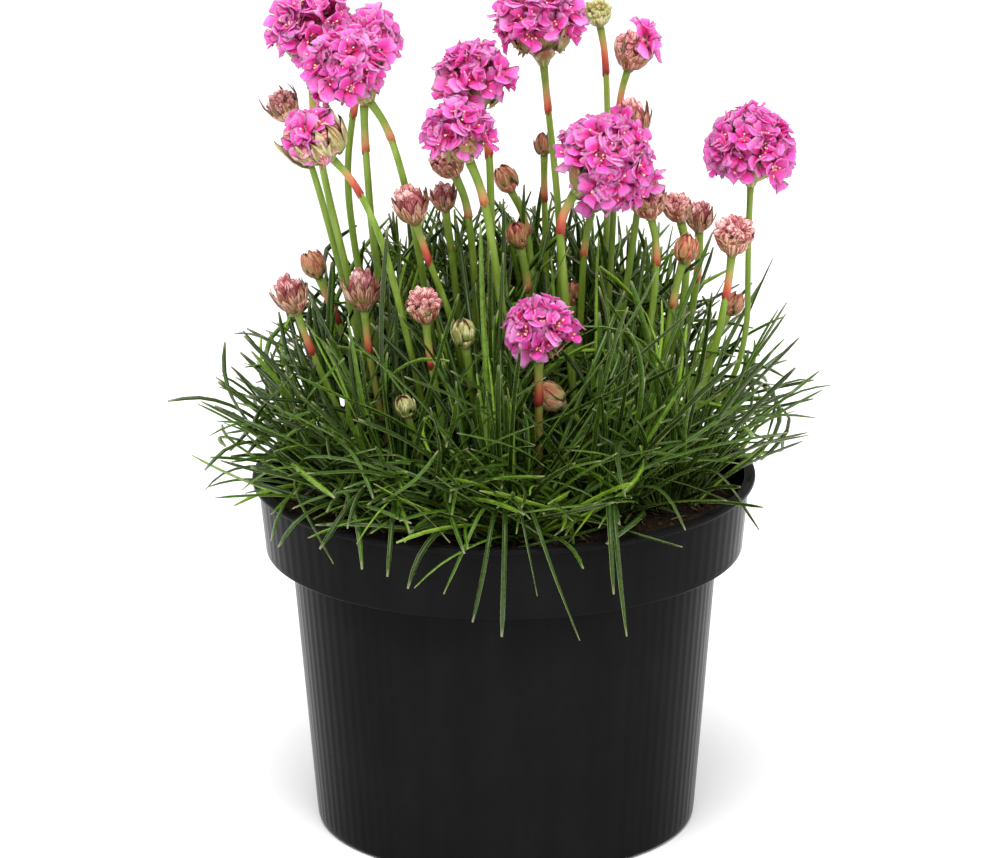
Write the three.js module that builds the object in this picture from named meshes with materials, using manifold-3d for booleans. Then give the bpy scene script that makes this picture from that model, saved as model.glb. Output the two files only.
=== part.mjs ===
// Potted sea thrift (Armeria) in a round nursery pot.
// Millimetres, +Z up, origin at the centre of the pot's underside, front of the plant towards -Y.

import * as THREE from "three";
import { ConvexHull } from "three/addons/math/ConvexHull.js";
import { mergeVertices } from "three/addons/utils/BufferGeometryUtils.js";
import Module from "manifold-3d";

const wasm = await Module();
wasm.setup();

// Pot, mm
const RIM_RADIUS = 65;
const POT_HEIGHT = 93;
const BAND_HEIGHT = 19.5;
const BAND_TOP_RADIUS = 63.4;
const BAND_BOTTOM_RADIUS = 61.7;
const BODY_TOP_RADIUS = 55.2;
const BASE_RADIUS = 49.2;
const BASE_CHAMFER = 1.4;
const LIP_THICKNESS = 1.4;
const WALL = 1.3;
const FLOOR = 2;
const POT_SIDES = 44;
const DRAIN_HOLES = 6;
const DRAIN_RADIUS = 4;
const DRAIN_CIRCLE = 38;

// Soil, mm
const SOIL_DEPTH_BELOW_RIM = 8;
const SOIL_LEVEL = POT_HEIGHT - SOIL_DEPTH_BELOW_RIM;
const SOIL_MOUND = 1.5;
const SOIL_ROUGHNESS = 0.7;
const SOIL_SIDES = 16;

// Clearances between neighbouring pieces, mm
const GAP = 0.3;
const HOLE_GAP = 0.36;
const HOLE_DEPTH = 6;
const CLEAR_OF_RIM = 1.2;
const CLEAR_OF_SOIL = 2.5;
const CLEAR_OF_STALK = 0.95;
const CLEAR_OF_HEAD = 1;
const BETWEEN_BLADES = 1.47;

// Rosettes: where each crown stands, mm
const CROWN_RADIUS = 7;
const CROWN_RISE = 5;
const CROWN_CAP = 1.5;
const CROWN_ROOT = 5;
const CROWN_SIDES = 7;
const ROSETTES = [
  [-2, -7],
  [25, -20],
  [-26, -20],
  [1, -33],
  [-42, 2],
  [-20, 36],
  [43, -8],
  [5, 41],
  [31, 33],
];

// Leaf blades, mm and degrees
const BLADE_WIDTH = 1.4;
const BLADE_THICKNESS = 0.9;
const BLADE_TAPER = 0.8;
const KEEL_SHARE = 0.65;
const BLADE_LONGEST = 88;
const BLADE_SHORTEST = 46;
const OUTER_SHORTER = 0.35;
const STEEPEST = 84;
const FLATTEST = 26;
const UNEVEN = 10;
const LEAST_BEND = 14;
const MOST_BEND = 48;
const WANDER = 0.6;
const LEAN_OUT = 0.5;
const ROOT_SPREAD = 0.72;
const ROOT_HEIGHT = SOIL_LEVEL + 0.6 * CROWN_RISE;
const BLADES_PER_ROSETTE = 28;
const BLADE_STEPS = 3;
const LONG_LEAF_STEPS = 5;
const BLADE_TRIES = 150;
const PLANT_REACH = 84;
const AIR_SAMPLES = 10;

// Stalks, mm
const STALK_RADIUS = 1.25;
const SHEATH_RADIUS = 1.65;
const SHEATH_LENGTH = 9;
const SHEATH_EDGE = 0.3;
const STALK_SIDES = 5;

// Blooms, in shares of the head's radius: the cup of bracts under the head, then the florets
const BLOOM_SEAT = 0.62;
const BLOOM_CUP_RADIUS = 0.44;
const BLOOM_CUP_DEPTH = 0.24;
const BLOOM_STALK_STEPS = 6;
const HEAD_SPREAD = 1.95;
const FLORET_STRAY = 0.3;
const FLORET_UNEVEN = 0.06;
const HEAD_BASE_SIDES = 6;
const FLORET_PETALS = 5;
const FLORET_THROAT = 0.82;
const PETAL_TIP = 1.02;
const PETAL_NOTCH = 0.88;
const NOTCH_SHARE = 0.6;
const HEAD_CREVICE = 0.66;

// Buds, in shares of the head's radius: height along the axis and width of each row of bracts
const BUD_ROWS = [
  [-0.72, 0.72],
  [-0.2, 1],
  [0.4, 0.86],
  [0.9, 0.5],
];
const BUD_NECK = 1.2;
const BUD_TIP = 1.15;
const BUD_STALK_STEPS = 3;
const OPEN_SPREAD = 0.9;
const OPEN_FLORET_REACH = 1.35;
const OPEN_FLORET_ROOT = 0.35;

// Open floret of a bud: length of a petal, mm, then its notch, throat and hanging tip as shares of that
const OPEN_PETAL = 3;
const OPEN_NOTCH = 0.5;
const OPEN_THROAT = 0.3;
const OPEN_DROOP = 0.1;

// Materials
const POT_PLASTIC = new THREE.MeshStandardMaterial({ color: 0x232426, roughness: 0.42, metalness: 0 });
const PEAT = new THREE.MeshStandardMaterial({ color: 0x2c1c14, roughness: 1, metalness: 0 });
const LEAF = new THREE.MeshStandardMaterial({ color: 0x2f5a22, roughness: 0.5, metalness: 0 });
const STALK = new THREE.MeshStandardMaterial({ color: 0x7c9a4c, roughness: 0.55, metalness: 0 });
const PETAL = new THREE.MeshStandardMaterial({ color: 0xe062bc, roughness: 0.6, metalness: 0 });
const BUD = new THREE.MeshStandardMaterial({ color: 0xb0564c, roughness: 0.6, metalness: 0 });

// Blooms: centre and radius of the head, bends of its stalk from the head down, foot of the stalk, florets
const BLOOMS = [
  { head: [-48, 8, 208], radius: 11.5, bends: [[-48, 8, 184], [-42, 7, 154]], foot: [-27, 6], florets: 13 },
  { head: [-33, 24, 202], radius: 9.5, bends: [[-40, 22, 176], [-37, 18, 140]], foot: [-23, 14], florets: 11 },
  { head: [-38, -18, 204], radius: 12, bends: [[-28, -13, 187], [-23, -6, 164]], foot: [-14, 17], florets: 13 },
  { head: [-46, -32, 190], radius: 8.5, bends: [[-34, -26, 173], [-25, -15, 137]], foot: [-17, -1], florets: 9 },
  { head: [-7, 4, 196], radius: 10.5, bends: [[-3, 6, 177], [-3, 10, 148]], foot: [-2, 17], florets: 12 },
  { head: [-11, -16, 187], radius: 9.5, bends: [[-5, -14, 172], [0, -8, 138]], foot: [8, 1], florets: 11 },
  { head: [10, 18, 207], radius: 12.5, bends: [[12, 19, 184], [15, 21, 151]], foot: [13, 24], florets: 13 },
  { head: [26, -10, 178], radius: 13, bends: [[15, -9, 166], [16, -7, 142]], foot: [20, -2], florets: 13 },
  { head: [24, 12, 164], radius: 6.5, bends: [[21, 13, 149], [20, 15, 126]], foot: [17, 17], florets: 7 },
  { head: [64, 6, 177], radius: 11.5, bends: [[63, 7, 152], [61, 7, 118]], foot: [38, 8], florets: 12 },
  { head: [9, -27, 138], radius: 9.5, bends: [[9, -23, 117], [9, -20, 101]], foot: [8, -16], florets: 11 },
];

// Buds: centre and radius of the head, bends of the stalk from the head down, foot, florets already open
const BUDS = [
  { head: [-56, 15, 187], radius: 4, bends: [[-49, 15, 173], [-42, 14, 145]], foot: [-30, 12], open: 0 },
  { head: [-35, 8, 192], radius: 3, bends: [[-35, 10, 178], [-33, 15, 145]], foot: [-22, 24], open: 0 },
  { head: [-14, 5, 175], radius: 4.5, bends: [[-9, 7, 164], [-7, 11, 145]], foot: [-7, 23], open: 0 },
  { head: [25, 28, 208], radius: 3.5, bends: [[28, 28, 188], [28, 28, 160]], foot: [22, 27], open: 0 },
  { head: [34, 16, 201], radius: 5, bends: [[30, 17, 187], [29, 18, 160]], foot: [25, 20], open: 3 },
  { head: [33, 5, 185], radius: 5, bends: [[36, 6, 172], [33, 7, 148]], foot: [24, 10], open: 1 },
  { head: [37, 0, 166], radius: 5, bends: [[40, 1, 150], [37, 2, 124]], foot: [28, 3], open: 3 },
  { head: [45, 13, 160], radius: 3.7, bends: [[48, 13, 148], [47, 13, 130]], foot: [33, 14], open: 0 },
  { head: [51, 22, 155], radius: 3.7, bends: [[51, 22, 140], [47, 22, 118]], foot: [34, 22], open: 0 },
  { head: [59, -6, 158], radius: 5, bends: [[57, -4, 139], [53, -3, 120]], foot: [39, 0], open: 0 },
  { head: [47, 1, 152], radius: 3.3, bends: [[44, 2, 140], [41, 4, 118]], foot: [33, 7], open: 0 },
  { head: [60, 20, 132], radius: 2.8, bends: [[55, 19, 123]], foot: [41, 15], open: 0 },
  { head: [-23, -14, 168], radius: 4.5, bends: [[-20, -11, 156], [-13, -6, 140]], foot: [-9, 10], open: 0 },
  { head: [-15, 9, 164], radius: 3.5, bends: [[-13, 13, 148], [-11, 19, 125]], foot: [-9, 30], open: 0 },
  { head: [1, 30, 163], radius: 3.2, bends: [[7, 30, 150]], foot: [8, 31], open: 0 },
  { head: [4, 15, 152], radius: 3, bends: [[7, 16, 136]], foot: [8, 21], open: 0 },
  { head: [11, 28, 173], radius: 2.6, bends: [[11, 29, 152]], foot: [13, 33], open: 0 },
  { head: [18, 27, 133], radius: 2.6, bends: [[18, 26, 118]], foot: [19, 23], open: 0 },
  { head: [-54, -4, 142], radius: 4.5, bends: [[-49, -3, 126], [-42, -1, 109]], foot: [-32, 1], open: 0 },
  { head: [-49, 24, 142], radius: 3.3, bends: [[-43, 23, 127]], foot: [-30, 21], open: 0 },
  { head: [-36, 0, 142], radius: 4.6, bends: [[-34, -1, 122]], foot: [-27, -3], open: 0 },
  { head: [-20, -17, 143], radius: 4.4, bends: [[-18, -15, 123]], foot: [-11, -10], open: 0 },
  { head: [-10, -13, 134], radius: 3.4, bends: [[-8, -11, 119]], foot: [-5, -3], open: 0 },
  { head: [-25, -21, 117], radius: 2.8, bends: [[-22, -17, 105]], foot: [-18, -13], open: 0 },
  { head: [12, -13, 117], radius: 3.8, bends: [[20, -12, 111], [22, -10, 101]], foot: [17, -8], open: 0 },
];

// Leaves that stand out of the mound: rosette they grow from, tip, and the crest of the arch,
// as a share of the way out and a height above the straight line
const LONG_LEAVES = [
  { rosette: 5, tip: [-86, -8, 115], out: 0.5, lift: 18 },
  { rosette: 5, tip: [-80, 1, 121], out: 0.5, lift: 16 },
  { rosette: 5, tip: [-75, -16, 108], out: 0.5, lift: 18 },
  { rosette: 5, tip: [-76, -26, 102], out: 0.6, lift: 20 },
  { rosette: 5, tip: [-67, 8, 129], out: 0.5, lift: 10 },
  { rosette: 3, tip: [-66, -40, 101], out: 0.6, lift: 18 },
  { rosette: 3, tip: [-46, -60, 92], out: 0.7, lift: 24 },
  { rosette: 3, tip: [-39, -62, 98], out: 0.6, lift: 20 },
  { rosette: 3, tip: [-29, -70, 88], out: 0.7, lift: 28 },
  { rosette: 4, tip: [-15, -72, 84], out: 0.8, lift: 32 },
  { rosette: 4, tip: [-8, -73, 77], out: 0.85, lift: 40 },
  { rosette: 4, tip: [-1, -73, 68], out: 0.9, lift: 54 },
  { rosette: 4, tip: [8, -74, 84], out: 0.8, lift: 34 },
  { rosette: 4, tip: [21, -73, 66], out: 0.9, lift: 56 },
  { rosette: 2, tip: [31, -71, 66], out: 0.9, lift: 58 },
  { rosette: 2, tip: [27, -73, 84], out: 0.8, lift: 36 },
  { rosette: 2, tip: [45, -62, 97], out: 0.6, lift: 20 },
  { rosette: 7, tip: [64, -47, 92], out: 0.8, lift: 26 },
  { rosette: 7, tip: [84, -8, 118], out: 0.5, lift: 14 },
  { rosette: 7, tip: [80, 3, 116], out: 0.6, lift: 16 },
  { rosette: 7, tip: [72, -6, 130], out: 0.5, lift: 10 },
  { rosette: 7, tip: [66, 20, 148], out: 0.5, lift: 4 },
  { rosette: 7, tip: [70, -14, 140], out: 0.5, lift: 6 },
  { rosette: 1, tip: [4, 8, 172], out: 0.5, lift: 4 },
  { rosette: 8, tip: [3, 22, 171], out: 0.5, lift: 2 },
];

const GOLDEN_ANGLE = Math.PI * (3 - Math.sqrt(5));
const UP = new THREE.Vector3(0, 0, 1);
const SIDEWAYS = new THREE.Vector3(1, 0, 0);
const vector = ([x, y, z]) => new THREE.Vector3(x, y, z);

// A repeatable stream of numbers from 0 to 1
function randomStream(seed) {
  let state = seed >>> 0;
  return () => {
    state = (state + 0x6d2b79f5) >>> 0;
    let value = Math.imul(state ^ (state >>> 15), 1 | state);
    value = (value + Math.imul(value ^ (value >>> 7), 61 | value)) ^ value;
    return ((value ^ (value >>> 14)) >>> 0) / 4294967296;
  };
}

// Triangles over a list of points
function indexed(points, faces) {
  const geometry = new THREE.BufferGeometry();
  const flat = points.flatMap((p) => [p.x, p.y, p.z]);
  geometry.setAttribute("position", new THREE.BufferAttribute(new Float32Array(flat), 3));
  geometry.setIndex(faces);
  return geometry;
}

// Closed skin over a row of rings, each wound anticlockwise as seen from the far end.
// Without a point the far end is closed by a flat cap.
function loft(rings, point) {
  const sides = rings[0].length;
  const points = rings.flat();
  const faces = [];
  for (let side = 1; side < sides - 1; side += 1) {
    faces.push(0, side + 1, side);
  }
  for (let ring = 0; ring < rings.length - 1; ring += 1) {
    for (let side = 0; side < sides; side += 1) {
      const next = (side + 1) % sides;
      const near = ring * sides;
      const far = near + sides;
      faces.push(near + side, near + next, far + next);
      faces.push(near + side, far + next, far + side);
    }
  }
  const last = (rings.length - 1) * sides;
  if (point) {
    points.push(point);
    for (let side = 0; side < sides; side += 1) {
      faces.push(last + side, last + ((side + 1) % sides), last + sides);
    }
  } else {
    for (let side = 1; side < sides - 1; side += 1) {
      faces.push(last, last + side, last + side + 1);
    }
  }
  return indexed(points, faces);
}

// Solid body of a closed geometry
function solid(geometry) {
  const plain = geometry.clone();
  plain.deleteAttribute("normal");
  plain.deleteAttribute("uv");
  const merged = mergeVertices(plain, 1e-4);
  return new wasm.Manifold(
    new wasm.Mesh({
      numProp: 3,
      vertProperties: new Float32Array(merged.attributes.position.array),
      triVerts: new Uint32Array(merged.index.array),
    }),
  );
}

// The largest piece of a body: a loose scrap left by a cut is dropped
function largest(body) {
  const pieces = body.decompose();
  return pieces.reduce((best, piece) => (piece.volume() > best.volume() ? piece : best));
}

// Named mesh of a solid body
function meshOf(body, name, material) {
  const { vertProperties, triVerts } = body.getMesh();
  const geometry = new THREE.BufferGeometry();
  geometry.setAttribute("position", new THREE.BufferAttribute(vertProperties, 3));
  geometry.setIndex(new THREE.BufferAttribute(triVerts, 1));
  geometry.computeVertexNormals();
  const mesh = new THREE.Mesh(geometry, material);
  mesh.name = name;
  return mesh;
}

// Turned body whose outline runs up the outside and back down the axis or the inside
function turned(outline, sides) {
  const points = outline.map(([radius, height]) => new THREE.Vector2(radius, height));
  return new THREE.LatheGeometry(points, sides).rotateX(Math.PI / 2);
}

// Ring of points round a place on a path, with the given radius, number of sides and turn
function ringAt(centre, direction, radius, sides, turn = 0) {
  const across = SIDEWAYS.clone().addScaledVector(direction, -SIDEWAYS.dot(direction)).normalize();
  const along = direction.clone().cross(across);
  return Array.from({ length: sides }, (_, side) => {
    const angle = turn + (2 * Math.PI * side) / sides;
    return centre
      .clone()
      .addScaledVector(across, radius * Math.cos(angle))
      .addScaledVector(along, radius * Math.sin(angle));
  });
}

function makePot() {
  const top = POT_HEIGHT;
  const ledge = top - BAND_HEIGHT;
  const outline = [
    [0, 0],
    [BASE_RADIUS - BASE_CHAMFER, 0],
    [BASE_RADIUS, BASE_CHAMFER],
    [BODY_TOP_RADIUS, ledge],
    [BAND_BOTTOM_RADIUS, ledge],
    [BAND_TOP_RADIUS, top - LIP_THICKNESS],
    [RIM_RADIUS, top - LIP_THICKNESS],
    [RIM_RADIUS, top],
    [BAND_TOP_RADIUS - WALL, top],
    [BAND_BOTTOM_RADIUS - WALL, ledge + WALL],
    [BODY_TOP_RADIUS - WALL, ledge + WALL],
    [BASE_RADIUS - WALL, FLOOR],
    [0, FLOOR],
  ];
  let body = solid(turned(outline, POT_SIDES));
  for (let hole = 0; hole < DRAIN_HOLES; hole += 1) {
    const angle = (2 * Math.PI * (hole + 0.5)) / DRAIN_HOLES;
    const drill = new THREE.CylinderGeometry(DRAIN_RADIUS, DRAIN_RADIUS, 4 * FLOOR, 8).rotateX(Math.PI / 2);
    drill.translate(DRAIN_CIRCLE * Math.cos(angle), DRAIN_CIRCLE * Math.sin(angle), 0);
    body = body.subtract(solid(drill));
  }
  return body;
}

// Peat inside the pot, with a gently mounded, uneven top
function makeSoilBlock() {
  const ledge = POT_HEIGHT - BAND_HEIGHT + WALL + GAP;
  const clear = WALL + GAP;
  const edge = BAND_BOTTOM_RADIUS - clear;
  const profile = [
    [BASE_RADIUS - clear, FLOOR + GAP],
    [BODY_TOP_RADIUS - clear, ledge],
    [edge, ledge],
    [edge, SOIL_LEVEL - 1],
    [0.84 * edge, SOIL_LEVEL],
  ];
  const firstUneven = 4;
  const random = randomStream(11);
  const rings = profile.map(([radius, height], index) => {
    const ring = ringAt(new THREE.Vector3(0, 0, height), UP, radius, SOIL_SIDES);
    if (index >= firstUneven) {
      ring.forEach((point) => {
        point.z += SOIL_ROUGHNESS * (2 * random() - 1);
      });
    }
    return ring;
  });
  return solid(loft(rings, new THREE.Vector3(0, 0, SOIL_LEVEL + SOIL_MOUND)));
}

// Path of a stalk from its foot in the soil to just under its head
function stalkPath({ head, radius, bends, foot }, seat) {
  const centre = vector(head);
  const axis = centre.clone().sub(vector(bends[0])).normalize();
  const neck = centre.clone().addScaledVector(axis, -seat * radius);
  const points = [
    new THREE.Vector3(foot[0], foot[1], SOIL_LEVEL - HOLE_DEPTH),
    new THREE.Vector3(foot[0], foot[1], SOIL_LEVEL + 2),
    ...bends.map(vector).reverse(),
    neck,
  ];
  return { curve: new THREE.CatmullRomCurve3(points, false, "centripetal"), centre, axis };
}

// Rings along a stalk: plain below, then the papery sheath that ends under the head.
// With extra they line the hole that the stalk stands in.
function stalkRings(curve, steps, extra = 0) {
  const length = curve.getLength();
  const sheathStart = 1 - SHEATH_LENGTH / length;
  const places = Array.from({ length: steps + 1 }, (_, step) => [(sheathStart * step) / steps, STALK_RADIUS]);
  places.push([sheathStart + SHEATH_EDGE / length, SHEATH_RADIUS], [1, SHEATH_RADIUS]);
  return places.map(([at, radius], index) => {
    const direction = curve.getTangentAt(at);
    const deeper = index === 0 ? -extra : 0;
    const centre = curve.getPointAt(at).addScaledVector(direction, deeper);
    return ringAt(centre, direction, radius + extra, STALK_SIDES);
  });
}

// Leafless stalk with its sheath and the shallow cup of bracts that carries the head
function makeBloomStalk(bloom) {
  const { curve, centre, axis } = stalkPath(bloom, BLOOM_SEAT + BLOOM_CUP_DEPTH);
  const rings = stalkRings(curve, BLOOM_STALK_STEPS);
  const rim = centre.clone().addScaledVector(axis, -BLOOM_SEAT * bloom.radius);
  rings.push(ringAt(rim, axis, BLOOM_CUP_RADIUS * bloom.radius, STALK_SIDES));
  return solid(loft(rings));
}

// Five-petalled floret of a bud: a star with a sunken throat on a pointed tube
function makeFloret(centre, direction, reach, turn) {
  const rim = centre.clone().addScaledVector(direction, reach);
  const drooped = rim.clone().addScaledVector(direction, -OPEN_DROOP * OPEN_PETAL);
  const halfTurn = turn + Math.PI / FLORET_PETALS;
  const tips = ringAt(drooped, direction, OPEN_PETAL, FLORET_PETALS, turn);
  const notches = ringAt(rim, direction, OPEN_NOTCH * OPEN_PETAL, FLORET_PETALS, halfTurn);
  const star = tips.flatMap((tip, index) => [tip, notches[index]]);
  const throat = rim.clone().addScaledVector(direction, -OPEN_THROAT * OPEN_PETAL);
  const root = centre.clone().addScaledVector(direction, OPEN_FLORET_ROOT * reach);
  const points = [...star, throat, root];
  const faces = [];
  for (let side = 0; side < star.length; side += 1) {
    const next = (side + 1) % star.length;
    faces.push(side, next, star.length);
    faces.push(next, side, star.length + 1);
  }
  return solid(indexed(points, faces));
}

// Half the spacing of points packed evenly over a cap of the unit sphere
function halfSpacing(count, widest) {
  const share = (2 * Math.PI * (1 - Math.cos(widest))) / count;
  return 0.5 * Math.sqrt((2 * share) / Math.sqrt(3));
}

// Directions spread evenly over a cap round an axis
function spreadDirections(axis, count, widest, random) {
  const turnTo = new THREE.Quaternion().setFromUnitVectors(UP, axis);
  return Array.from({ length: count }, (_, index) => {
    const cosine = 1 - ((index + 0.5) / count) * (1 - Math.cos(widest));
    const sine = Math.sqrt(1 - cosine * cosine);
    const angle = GOLDEN_ANGLE * index + FLORET_STRAY * random();
    return new THREE.Vector3(sine * Math.cos(angle), sine * Math.sin(angle), cosine).applyQuaternion(turnTo);
  });
}

// Directions on a cone round another direction
function ringRound(direction, halfAngle, count, turn) {
  const middle = direction.clone().multiplyScalar(Math.cos(halfAngle));
  return ringAt(middle, direction, Math.sin(halfAngle), count, turn);
}

// Directions midway between the florets, at least a given angle from each
function crevices(throats, base, widest) {
  const hull = new ConvexHull().setFromPoints([...throats, base]);
  const middles = hull.faces.map((face) => face.normal.clone());
  return middles.filter((middle) => throats.every((throat) => throat.angleTo(middle) > widest));
}

// Closed skin over points given as a direction from the centre and a distance
function radialSkin(centre, spots) {
  const onSphere = spots.map(({ direction }) => direction.clone());
  const hull = new ConvexHull().setFromPoints(onSphere);
  const points = spots.map(({ direction, distance }) => centre.clone().addScaledVector(direction, distance));
  const faces = [];
  for (const face of hull.faces) {
    let edge = face.edge;
    do {
      faces.push(onSphere.indexOf(edge.head().point));
      edge = edge.next;
    } while (edge !== face.edge);
  }
  return solid(indexed(points, faces));
}

// Head of five-petalled florets: throats sunk, petal tips raised, deep crevices between the florets
function makeBloomHead(bloom, seed) {
  const { centre, axis } = stalkPath(bloom, BLOOM_SEAT);
  const { radius, florets } = bloom;
  const random = randomStream(seed);
  const seat = BLOOM_SEAT * radius - GAP;
  const spots = [{ direction: axis.clone().negate(), distance: seat }];
  const cup = BLOOM_CUP_RADIUS * radius;
  for (const point of ringAt(axis.clone().multiplyScalar(-seat), axis, cup, HEAD_BASE_SIDES)) {
    spots.push({ direction: point.normalize(), distance: Math.hypot(seat, cup) });
  }
  const throats = spreadDirections(axis, florets, HEAD_SPREAD, random);
  const half = halfSpacing(florets, HEAD_SPREAD);
  for (const throat of throats) {
    const turn = 2 * random();
    const halfTurn = turn + Math.PI / FLORET_PETALS;
    const lift = radius * (1 + FLORET_UNEVEN * (random() - 0.5));
    spots.push({ direction: throat, distance: FLORET_THROAT * lift });
    for (const direction of ringRound(throat, half, FLORET_PETALS, turn)) {
      spots.push({ direction, distance: PETAL_TIP * lift });
    }
    for (const direction of ringRound(throat, NOTCH_SHARE * half, FLORET_PETALS, halfTurn)) {
      spots.push({ direction, distance: PETAL_NOTCH * lift });
    }
  }
  for (const direction of crevices(throats, axis.clone().negate(), half)) {
    spots.push({ direction, distance: HEAD_CREVICE * radius });
  }
  return radialSkin(centre, spots);
}

// Stalk and closed head in one: each row of bracts is turned half a step from the last
function makeBud(bud, seed) {
  const { curve, centre, axis } = stalkPath(bud, BUD_NECK);
  const rings = stalkRings(curve, BUD_STALK_STEPS);
  BUD_ROWS.forEach(([height, width], row) => {
    const middle = centre.clone().addScaledVector(axis, height * bud.radius);
    rings.push(ringAt(middle, axis, width * bud.radius, STALK_SIDES, ((row % 2) * Math.PI) / STALK_SIDES));
  });
  let body = solid(loft(rings, centre.clone().addScaledVector(axis, BUD_TIP * bud.radius)));
  const random = randomStream(seed);
  for (const direction of spreadDirections(axis, bud.open, OPEN_SPREAD, random)) {
    body = body.add(makeFloret(centre, direction, OPEN_FLORET_REACH * bud.radius, 2 * random()));
  }
  return body;
}

// Low dome of old leaf bases, sunk into the soil; extra makes the hole that it stands in
function makeCrown([x, y], extra = 0) {
  const rows = [
    [SOIL_LEVEL - CROWN_ROOT - extra, 0.8 * CROWN_RADIUS + extra],
    [SOIL_LEVEL + 2 * SOIL_MOUND + extra, CROWN_RADIUS + extra],
    [SOIL_LEVEL + CROWN_RISE, 0.6 * CROWN_RADIUS + extra],
  ];
  const rings = rows.map(([z, radius]) => ringAt(new THREE.Vector3(x, y, z), UP, radius, CROWN_SIDES));
  return loft(rings, new THREE.Vector3(x, y, SOIL_LEVEL + CROWN_RISE + CROWN_CAP + extra));
}

// Blade with a flat upper face and a keel below, narrowing to a point at its tip
function makeBlade(line) {
  const last = line.length - 1;
  const rings = [];
  for (let index = 0; index < last; index += 1) {
    const behind = line[Math.max(index - 1, 0)];
    const direction = line[index + 1].clone().sub(behind).normalize();
    const side = direction.clone().cross(UP).normalize();
    const upper = side.clone().cross(direction);
    const taper = index === last - 1 ? BLADE_TAPER : 1;
    const half = 0.5 * BLADE_WIDTH * taper;
    const keel = KEEL_SHARE * BLADE_THICKNESS;
    const rise = BLADE_THICKNESS - keel;
    rings.push([
      line[index].clone().addScaledVector(side, -half).addScaledVector(upper, rise),
      line[index].clone().addScaledVector(side, half).addScaledVector(upper, rise),
      line[index].clone().addScaledVector(upper, -keel),
    ]);
  }
  return solid(loft(rings, line[last]));
}

// Middle line of a blade that arches from its rosette by a rule
function archingLine([x, y], count, index, random) {
  const share = (index + 0.5) / count;
  const around = GOLDEN_ANGLE * index;
  const heading = around + WANDER * (random() - 0.5);
  const outward = Math.atan2(y, x);
  const offset = Math.hypot(x, y) / RIM_RADIUS;
  const steep = THREE.MathUtils.degToRad(STEEPEST + (FLATTEST - STEEPEST) * share + UNEVEN * (random() - 0.5));
  const bend = THREE.MathUtils.degToRad(LEAST_BEND + (MOST_BEND - LEAST_BEND) * random() * (0.5 + share));
  const length = BLADE_SHORTEST + (BLADE_LONGEST - BLADE_SHORTEST) * random() * (1 - OUTER_SHORTER * share);
  const root = ROOT_SPREAD * CROWN_RADIUS * Math.sqrt(share);
  const turn = WANDER * (random() - 0.5);
  const start = new THREE.Vector3(x + root * Math.cos(around), y + root * Math.sin(around), ROOT_HEIGHT);
  const line = [start];
  for (let step = 0; step < BLADE_STEPS; step += 1) {
    const at = (step + 0.5) / BLADE_STEPS;
    const climb = steep - bend * at;
    const angle = heading + turn * at;
    const move = new THREE.Vector3(
      Math.cos(climb) * Math.cos(angle) + LEAN_OUT * offset * Math.cos(outward),
      Math.cos(climb) * Math.sin(angle) + LEAN_OUT * offset * Math.sin(outward),
      Math.sin(climb),
    ).normalize();
    line.push(line[step].clone().addScaledVector(move, length / BLADE_STEPS));
  }
  return line;
}

// Middle line of a leaf that reaches a given tip over a crest
function reachingLine([x, y], { tip, out, lift }) {
  const end = vector(tip);
  const heading = Math.atan2(end.y - y, end.x - x);
  const root = ROOT_SPREAD * CROWN_RADIUS;
  const start = new THREE.Vector3(x + root * Math.cos(heading), y + root * Math.sin(heading), ROOT_HEIGHT);
  const crest = start.clone().lerp(end, out);
  crest.z += lift;
  return new THREE.QuadraticBezierCurve3(start, crest, end).getPoints(LONG_LEAF_STEPS);
}

// Shortest distance between two straight pieces
function distanceBetween(a, b, c, d) {
  const u = b.clone().sub(a);
  const v = d.clone().sub(c);
  const w = a.clone().sub(c);
  const uu = u.dot(u);
  const uv = u.dot(v);
  const vv = v.dot(v);
  const uw = u.dot(w);
  const vw = v.dot(w);
  const spread = uu * vv - uv * uv;
  let s = spread > 1e-9 ? THREE.MathUtils.clamp((uv * vw - vv * uw) / spread, 0, 1) : 0;
  const t = THREE.MathUtils.clamp((uv * s + vw) / vv, 0, 1);
  s = THREE.MathUtils.clamp((uv * t - uw) / uu, 0, 1);
  return w.addScaledVector(u, s).addScaledVector(v, -t).length();
}

// True where a point is in the air, clear of the soil and of the pot
function inAir(point) {
  const out = Math.hypot(point.x, point.y);
  if (point.z > POT_HEIGHT + CLEAR_OF_RIM) {
    return true;
  }
  const inside = out < BAND_BOTTOM_RADIUS - WALL - CLEAR_OF_RIM;
  return inside ? point.z > SOIL_LEVEL + CLEAR_OF_SOIL : out > RIM_RADIUS + CLEAR_OF_RIM;
}

// True where a blade's line stays within reach and clears the pot, the stalks, the heads and other blades
function isClear(line, rosette, placed, stalks, heads) {
  const tip = line[line.length - 1];
  if (Math.hypot(tip.x, tip.y) > PLANT_REACH) {
    return false;
  }
  for (let index = 1; index < line.length; index += 1) {
    const a = line[index - 1];
    const b = line[index];
    for (let sample = 1; sample <= AIR_SAMPLES; sample += 1) {
      if (!inAir(a.clone().lerp(b, sample / AIR_SAMPLES))) {
        return false;
      }
    }
    for (const { centre, radius } of heads) {
      const nearest = new THREE.Line3(a, b).closestPointToPoint(centre, true, new THREE.Vector3());
      if (nearest.distanceTo(centre) < radius + CLEAR_OF_HEAD) {
        return false;
      }
    }
    for (const stalk of stalks) {
      for (let step = 1; step < stalk.length; step += 1) {
        if (distanceBetween(a, b, stalk[step - 1], stalk[step]) < SHEATH_RADIUS + CLEAR_OF_STALK) {
          return false;
        }
      }
    }
    for (const other of placed) {
      const sameRosette = other.rosette === rosette;
      if (sameRosette && index === 1) {
        continue;
      }
      for (let step = sameRosette ? 2 : 1; step < other.line.length; step += 1) {
        if (distanceBetween(a, b, other.line[step - 1], other.line[step]) < BETWEEN_BLADES) {
          return false;
        }
      }
    }
  }
  return true;
}

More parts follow.
